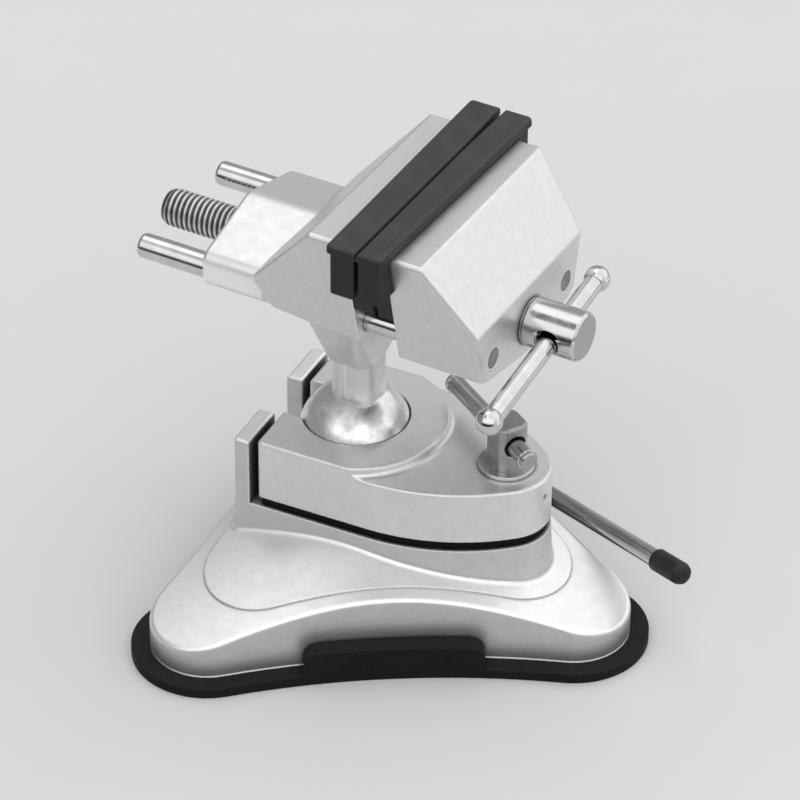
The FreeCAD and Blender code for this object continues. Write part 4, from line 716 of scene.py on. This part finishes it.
def screw_steel(steel, sizes):
    """Plated steel with oil and painted shade in the thread's grooves, and a duller end face."""
    finish, tree, shader = new_finish("screw_steel")
    lathe = tree.use(effect("lathe"), Point=tuple(SCREW_ORIGIN), Axis=tuple(SCREW_AXIS),
                     Spacing=steel.turning)
    marks = tree.use(effect("scuffs"), Length=0.006, Amount=0.6)
    edges = tree.use(effect("edges"), Radius=0.00025)
    packed = frame["nodes"]["lead_screw"].data
    head_front = max((SCREW_FRAME.inverted() @ point.co).z for point in packed.vertices)
    on_thread = tree.span(lathe["Along"], sizes.plain_from, sizes.plain_from - 0.0005)
    # Oil with painted shade: the thread darkens from just under its crest down into its grooves.
    depth = tree.span(lathe["Radius"], sizes.radius - 0.00008, sizes.radius - 0.5 * sizes.depth)
    groove = tree.sum("MULTIPLY", depth, on_thread)
    metal = tree.blend(on_thread, rgba(steel.plate), rgba(steel.thread))
    metal = tree.blend(tree.sum("MULTIPLY", lathe["Streak"], 0.25), metal, rgba(steel.dull))
    # Edge wear with a painted highlight on the rounded edges.
    metal = tree.blend(tree.sum("MULTIPLY", edges["Edge"], 0.5), metal, rgba(EDGE_WEAR_AND_HIGHLIGHT_PLATING))
    metal = tree.blend(tree.sum("MULTIPLY", groove, 0.85), metal, rgba(steel.oil_and_shade))
    face = tree.span(lathe["Along"], head_front - 0.0001, head_front)
    metal = tree.blend(face, metal, rgba(steel.dull))
    rough = tree.sum("MULTIPLY_ADD", marks["Haze"], 0.10, 0.17)
    rough = tree.sum("MULTIPLY_ADD", on_thread, 0.14, rough)
    tree.feed(metal, shader["Base Color"])
    tree.feed(rough, shader["Roughness"])
    shader["Metallic"].default_value = 1.0
    set_skin(tree, shader, lathe["Height"], normal=edges["Normal"])
    return finish


def lay_on(finish, slot, *nodes):
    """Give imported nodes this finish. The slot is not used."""
    for name in nodes:
        item = frame["nodes"][name]
        item.data.materials.clear()
        item.data.materials.append(finish)
        for face in item.data.polygons:
            face.material_index = 0


# ---- mesh helpers ---------------------------------------------------------------------------


def add_piece(name, mesh, place, body, slot, finish, *nodes):
    """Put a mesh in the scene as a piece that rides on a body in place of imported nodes."""
    mesh.transform(place)
    mesh.update()
    piece = bpy.data.objects.new(name, mesh)
    bpy.context.scene.collection.objects.link(piece)
    piece.data.materials.append(finish)
    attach(piece, body)
    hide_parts(*nodes)


def smooth_by_angle(mesh, degrees):
    """Smooth shading with edges sharper than the angle kept crisp."""
    work = bmesh.new()
    work.from_mesh(mesh)
    for face in work.faces:
        face.smooth = True
    for edge in work.edges:
        sharp = len(edge.link_faces) != 2 or edge.calc_face_angle(0) > math.radians(degrees)
        edge.smooth = not sharp
    work.to_mesh(mesh)
    work.free()


# ---- pieces ---------------------------------------------------------------------------------


def threaded_mesh(sizes):
    """The shank with a helical thread along Z: tapered at its rear end, open towards the neck."""
    segments, steps_per_turn = 64, 12
    start, end = -sizes.rear, sizes.plain_from
    core = sizes.radius - sizes.depth
    # Half the crest's share of the pitch.
    flat = sizes.crest / sizes.pitch / 2
    count = math.ceil((end - start) / sizes.pitch * steps_per_turn)
    mesh = bpy.data.meshes.new("lead_screw_turned")
    work = bmesh.new()
    rows = []
    for step in range(count + 1):
        z = start + (end - start) * step / count
        # The point goes a little deeper than the thread, which runs out over its last turn.
        taper = sizes.radius - 1.1 * sizes.depth * max(0.0, 1 - (z - start) / sizes.point)
        run_out = max(0.0, 1 - (end - z) / sizes.pitch)
        row = []
        for turn in range(segments):
            angle = 2 * math.pi * turn / segments
            from_crest = abs(((z - start) / sizes.pitch - turn / segments) % 1.0 - 0.5)
            flank = min(1.0, (0.5 - from_crest) / (0.5 - flat)) if from_crest > flat else 1.0
            reach = min(core + sizes.depth * max(flank, run_out), taper)
            row.append(work.verts.new((reach * math.cos(angle), reach * math.sin(angle), z)))
        rows.append(row)
    for row, after in zip(rows, rows[1:]):
        for turn in range(segments):
            beyond = (turn + 1) % segments
            work.faces.new((row[turn], row[beyond], after[beyond], after[turn]))
    work.faces.new(list(reversed(rows[0])))
    work.to_mesh(mesh)
    work.free()
    return mesh


def add_neck_and_head(mesh, place, sizes):
    """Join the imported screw's plain neck and drilled head onto the threaded shank."""
    packed = frame["nodes"]["lead_screw"]
    work = bmesh.new()
    work.from_mesh(packed.data)
    work.transform(place.inverted() @ packed.matrix_world)
    bmesh.ops.bisect_plane(work, geom=list(work.verts) + list(work.edges) + list(work.faces),
                           plane_co=(0, 0, sizes.plain_from), plane_no=(0, 0, 1), clear_inner=True)
    work.from_mesh(mesh)
    bmesh.ops.remove_doubles(work, verts=work.verts, dist=1e-6)
    work.to_mesh(mesh)
    work.free()


# ---- operators ------------------------------------------------------------------------------


class VISE_OT_castings(bpy.types.Operator):
    """Give the base, the clamp plate and both jaws their tumbled cast skin"""
    bl_idname = "vise.castings"
    bl_label = "Finish castings"

    def execute(self, context):
        settings = context.scene.vise_castings
        strip_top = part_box("suction_pad")[0].z + settings.foot_strip
        gasket_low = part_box("clamp_gasket")[0]
        plate_low, plate_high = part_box("clamp_plate")
        base = cast_aluminium(settings, "cast_base", shade=1.23, side_shade=0.69,
                              foot=(strip_top, strip_top + settings.strip_fade),
                              slots=(settings.slot_reach, gasket_low.z - SHADE_DROP, NO_CEILING))
        lay_on(base, "cast_aluminium", "base_casting")
        plate = cast_aluminium(settings, "cast_plate", shade=1.05,
                               slots=(settings.slot_reach, plate_low.z, plate_high.z))
        lay_on(plate, "cast_aluminium", "clamp_plate")
        jaw = cast_aluminium(settings, "cast_jaw", shade=1.04, side_shade=0.93)
        lay_on(jaw, "cast_aluminium", "movable_jaw")
        head = cast_aluminium(settings, "cast_head", shade=1.09, side_shade=0.86,
                              polished=(BALL_CENTRE, BALL_RADIUS, BALL_STEEL),
                              parting=(BALL_CENTRE, SCREW_AXIS, BALL_RADIUS, NECK_TOP),
                              lit_block=(SCREW_ORIGIN, SCREW_AXIS, BLOCK_FRONT))
        lay_on(head, "cast_aluminium", "fixed_jaw_body")
        return {"FINISHED"}


class VISE_OT_rubber(bpy.types.Operator):
    """Give the suction pad, the jaw covers, the gasket and the lever's cap their moulded skin"""
    bl_idname = "vise.rubber"
    bl_label = "Finish rubber"

    def execute(self, context):
        settings = context.scene.vise_rubber
        cover = moulded_rubber(settings, "cover_rubber", settings.cover, dust=0.35)
        lay_on(cover, "black_rubber", "movable_jaw_cover", "fixed_jaw_cover")
        foot = moulded_rubber(settings, "foot_rubber", settings.foot, dust=0.2, roughness=0.6,
                              gloss=0.22)
        lay_on(foot, "black_rubber", "suction_pad")
        grip = moulded_rubber(settings, "grip_rubber", settings.grip, dust=0.2, roughness=0.4)
        lay_on(grip, "black_rubber", "lever_grip")
        # Painted shadow: the gasket is near black, as dark as the shadowed gap it fills.
        gasket = moulded_rubber(settings, "gasket_rubber", GAP_SHADOW_RUBBER, dust=0.02, gloss=0.15)
        lay_on(gasket, "gasket_rubber", "clamp_gasket")
        return {"FINISHED"}


class VISE_OT_plated_steel(bpy.types.Operator):
    """Give the guide rods, the tommy bar, the lever and its shaft their bright steel"""
    bl_idname = "vise.plated_steel"
    bl_label = "Finish plated steel"

    def execute(self, context):
        settings = context.scene.vise_steel
        for name, (start, end) in (("guide_rod_left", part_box("guide_rod_left")),
                                   ("guide_rod_right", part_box("guide_rod_right"))):
            middle = (start + end) / 2
            radius = (end.z - start.z) / 2
            # Half the rod's length along its own axis, from the box round it.
            front = ((end - start).x / 2 - radius * abs(SCREW_AXIS.y)) / SCREW_AXIS.x
            rod = turned_steel(settings, name, settings.plate, middle, SCREW_AXIS,
                               ends=(ROD_END, front - 0.0002, radius - 0.0003))
            lay_on(rod, "chromed_steel", name)
        tommy_low, tommy_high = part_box("tommy_bar")
        middle = (tommy_low + tommy_high) / 2
        tommy = turned_steel(settings, "tommy_steel", settings.plate, middle, TOMMY_AXIS)
        lay_on(tommy, "chromed_steel", "tommy_bar", "tommy_knobs")
        start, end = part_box("lever_arm")
        middle = (start + end) / 2
        grip_low, grip_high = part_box("lever_grip")
        along = ((grip_low + grip_high) / 2 - middle).normalized()
        lever = turned_steel(settings, "lever_steel", settings.plate, middle, along, drawn=0.75)
        lay_on(lever, "chromed_steel", "lever_arm")
        shaft = turned_steel(settings, "cam_steel", settings.dull, SHAFT_SPOT, SHAFT_AXIS,
                             roughness=0.26)
        lay_on(shaft, "bright_steel", "cam_shaft")
        return {"FINISHED"}


class VISE_OT_clamp_steel(bpy.types.Operator):
    """Give the clamp's steel pieces, the hidden rings and washers and the lift stud their steel"""
    bl_idname = "vise.clamp_steel"
    bl_label = "Finish clamp steel"

    def execute(self, context):
        settings = context.scene.vise_steel
        lay_on(satin_steel("clamp_post_steel", settings.dull), "satin_steel", "clamp_screw")
        bar = turned_steel(settings, "clamp_bar_steel", settings.dull, CLAMP_SPOT + BAR_LIFT,
                           BAR_AXIS, roughness=0.24)
        lay_on(bar, "satin_steel", "clamp_bar")
        washer = turned_steel(settings, "washer_steel", settings.plate, CLAMP_SPOT, (0, 0, 1),
                              roughness=0.22)
        lay_on(washer, "bright_steel", "clamp_washer")
        lay_on(satin_steel("ring_steel", RING_STEEL, 0.2), "spring_steel", "clamp_bar_rings")
        lay_on(satin_steel("spring_steel", SPRING_STEEL, 0.4), "spring_steel", "thrust_washer",
               "shaft_clip", "retaining_ring")
        lay_on(satin_steel("stud_steel", settings.dull), "bright_steel", "lift_stud")
        return {"FINISHED"}


class VISE_OT_bearings(bpy.types.Operator):
    """Give the bush, the screw nut and the ball seat their bearing finish"""
    bl_idname = "vise.bearings"
    bl_label = "Finish bearings"

    def execute(self, context):
        lay_on(bearing_stuff("oiled_bronze", OILED_BRONZE, metallic=1.0, roughness=0.4),
               "bearing_bronze", "shaft_bush", "screw_nut")
        lay_on(bearing_stuff("seat_nylon", SEAT_NYLON, metallic=0.0, roughness=0.45), "nylon",
               "ball_seat")
        return {"FINISHED"}


class VISE_OT_lead_screw(bpy.types.Operator):
    """Cut the lead screw's helical thread and join its neck and drilled head to it"""
    bl_idname = "vise.lead_screw"
    bl_label = "Build lead screw"

    def execute(self, context):
        sizes = context.scene.vise_screw
        finish = screw_steel(context.scene.vise_steel, sizes)
        mesh = threaded_mesh(sizes)
        add_neck_and_head(mesh, SCREW_FRAME, sizes)
        smooth_by_angle(mesh, 30)
        add_piece("lead_screw_turned", mesh, SCREW_FRAME, "screw", "chromed_steel", finish,
                  "lead_screw")
        return {"FINISHED"}


class VISE_OT_studio(bpy.types.Operator):
    """Set up the pale floor, the sky of soft boxes and the camera"""
    bl_idname = "vise.studio"
    bl_label = "Set up studio"

    def execute(self, context):
        settings = context.scene.vise_studio
        add_floor(settings)
        add_sky(settings)
        add_camera(settings)
        context.scene.view_settings.view_transform = "Standard"
        return {"FINISHED"}


# ---- studio ---------------------------------------------------------------------------------

FLOOR_RADII = (0.15, 0.3, 0.45)
FLOOR_SIDES = 96
# The floor lies this far below the pad, so that the two don't share a plane.
FLOOR_DROP = 0.0002


def add_floor(settings):
    """A wide round table of matt paper."""
    mesh = bpy.data.meshes.new("studio_floor")
    work = bmesh.new()
    angles = [2 * math.pi * step / FLOOR_SIDES for step in range(FLOOR_SIDES)]
    rows = [[work.verts.new((radius * math.cos(angle), radius * math.sin(angle), 0.0))
             for angle in angles] for radius in FLOOR_RADII]
    work.faces.new(rows[0])
    for row, after in zip(rows, rows[1:]):
        for step in range(FLOOR_SIDES):
            beyond = (step + 1) % FLOOR_SIDES
            work.faces.new((row[step], after[step], after[beyond], row[beyond]))
    work.to_mesh(mesh)
    work.free()
    floor = bpy.data.objects.new("studio_floor", mesh)
    floor.location = (0, 0, -FLOOR_DROP)
    bpy.context.scene.collection.objects.link(floor)
    paper, tree, shader = new_finish("studio_paper")
    fibre = tree.noise(tree.place(), 30.0, detail=3.0)
    pale = rgba(settings.floor, 0.985)
    tree.feed(tree.blend(fibre, rgba(settings.floor), pale), shader["Base Color"])
    shader["Roughness"].default_value = 0.95
    shader["Specular IOR Level"].default_value = 0.0
    mesh.materials.append(paper)


# The sky's strength by the angle in the plane across the screw: 0 is the horizon behind the
# vise, 90 is overhead and 180 is the horizon on the camera's side.
SKY_BANDS = ((0, 0.46), (30, 0.46), (48, 0.50), (58, 1.65), (90, 1.70), (130, 1.50), (158, 1.45),
             (166, 0.60), (172, 0.05), (180, 0.03))
SKY_PEAK = 1.7

# Windows laid over those bands in this order, each with its strength and the soft steps whose
# product is its shape. A step goes from 0 at its first value to 1 at its second, of the angle
# above or of across, which is -1 behind the screw's rear end and 1 in front of its head.
SKY_WINDOWS = (
    # Overhead on the head's side, which the movable jaw's slant reflects.
    (1.20, (("across", -0.14, 0.04), ("angle", 60, 72), ("angle", 122, 108))),
    # The two ends of the room, first behind the screw, then in front of it.
    (0.32, (("across", -0.42, -0.72),)),
    (0.80, (("across", 0.78, 1.00),)),
    # A narrow slit, which bright rods show as a black line.
    (0.01, (("angle", 92, 97), ("angle", 127, 121), ("across", -0.23, -0.31),
            ("across", -0.50, -0.41))),
    # A low glow behind the vise, on the head's side.
    (1.30, (("across", -0.15, 0.20), ("angle", 2, 16), ("angle", 75, 55))),
)

# What the camera sees of the world, as a share of the floor's colour, so that both look alike.
BACKDROP_SHARE = 1.065


def add_sky(settings):
    """Soft boxes over a dim horizon, and a plain backdrop where the camera sees the world."""
    world = bpy.data.worlds.new("studio_sky")
    world.use_nodes = True
    world.node_tree.nodes.clear()
    tree = Tree(world.node_tree)
    way = tree.add("ShaderNodeSeparateXYZ", inputs={
        "Vector": tree.add("ShaderNodeTexCoord").outputs["Generated"]}).outputs
    angle = tree.sum("ABSOLUTE", tree.sum("DEGREES", tree.sum("ARCTAN2", way["Z"], way["Y"])))
    bands = tree.add("ShaderNodeValToRGB", inputs={"Fac": tree.sum("DIVIDE", angle, 180.0)})
    ramp = bands.color_ramp
    while len(ramp.elements) < len(SKY_BANDS):
        ramp.elements.new(0.5)
    for stop, (degrees, strength) in zip(ramp.elements, SKY_BANDS):
        stop.position = degrees / 180
        stop.color = (*(3 * (strength / SKY_PEAK,)), 1.0)
    bright = tree.sum("MULTIPLY", bands.outputs["Color"], SKY_PEAK)

    measures = {"across": way["X"], "angle": angle}
    for strength, steps in SKY_WINDOWS:
        window = 1.0
        for measure, low, high in steps:
            window = tree.sum("MULTIPLY", tree.span(measures[measure], low, high), window)
        bright = tree.fade(window, bright, strength)
    paper = BACKDROP_SHARE * sum(settings.floor) / 3
    seen = tree.add("ShaderNodeLightPath").outputs["Is Camera Ray"]
    light = tree.fade(seen, tree.sum("MULTIPLY", bright, settings.sky), paper)
    back = tree.add("ShaderNodeBackground", inputs={"Color": (1.0, 1.0, 1.0, 1.0),
                                                    "Strength": light})
    end = tree.add("ShaderNodeOutputWorld")
    world.node_tree.links.new(back.outputs["Background"], end.inputs["Surface"])
    bpy.context.scene.world = world


SENSOR_WIDTH = 36.0
# Moves the picture so that the whole vise is in the middle of it.
LENS_SHIFT = (0.0546, 0.0401)


def add_camera(settings):
    """A long lens that looks at the ball joint."""
    azimuth, elevation = settings.azimuth, settings.elevation
    back = Vector((math.sin(azimuth) * math.cos(elevation),
                   -math.cos(azimuth) * math.cos(elevation), math.sin(elevation)))
    lens = bpy.data.cameras.new("camera")
    lens.lens, lens.sensor_width = settings.lens, SENSOR_WIDTH
    lens.shift_x, lens.shift_y = LENS_SHIFT
    lens.clip_start, lens.clip_end = 0.05, 20.0
    camera = bpy.data.objects.new("camera", lens)
    place = Matrix.Translation(BALL_CENTRE + back * settings.distance)
    camera.matrix_world = place @ back.to_track_quat("Z", "Y").to_matrix().to_4x4()
    bpy.context.scene.collection.objects.link(camera)
    bpy.context.scene.camera = camera


# ---- add-on ---------------------------------------------------------------------------------

OPERATORS = (VISE_OT_castings, VISE_OT_rubber, VISE_OT_plated_steel, VISE_OT_clamp_steel,
             VISE_OT_bearings, VISE_OT_lead_screw, VISE_OT_studio)
SETTINGS = (("vise_castings", CastingFinish), ("vise_rubber", RubberFinish),
            ("vise_steel", SteelFinish), ("vise_screw", ScrewSizes),
            ("vise_studio", StudioSettings))


class VISE_PT_panel(bpy.types.Panel):
    """The vise's settings and the buttons that build it"""
    bl_idname = "VISE_PT_panel"
    bl_label = "Suction base vise"
    bl_space_type = "VIEW_3D"
    bl_region_type = "UI"
    bl_category = "Vise"

    def draw(self, context):
        for name, kind in SETTINGS:
            column = self.layout.column(align=True)
            for setting in kind.__annotations__:
                column.prop(getattr(context.scene, name), setting)
        for operator in OPERATORS:
            self.layout.operator(operator.bl_idname)


def register():
    for name, kind in SETTINGS:
        bpy.utils.register_class(kind)
        setattr(bpy.types.Scene, name, PointerProperty(type=kind))
    for operator in OPERATORS:
        bpy.utils.register_class(operator)
    bpy.utils.register_class(VISE_PT_panel)


def unregister():
    bpy.utils.unregister_class(VISE_PT_panel)
    for operator in reversed(OPERATORS):
        bpy.utils.unregister_class(operator)
    for name, kind in reversed(SETTINGS):
        delattr(bpy.types.Scene, name)
        bpy.utils.unregister_class(kind)


def main():
    register()
    bpy.ops.vise.castings()
    bpy.ops.vise.rubber()
    bpy.ops.vise.plated_steel()
    bpy.ops.vise.clamp_steel()
    bpy.ops.vise.bearings()
    bpy.ops.vise.lead_screw()
    bpy.ops.vise.studio()


if __name__ == "__main__":
    main()
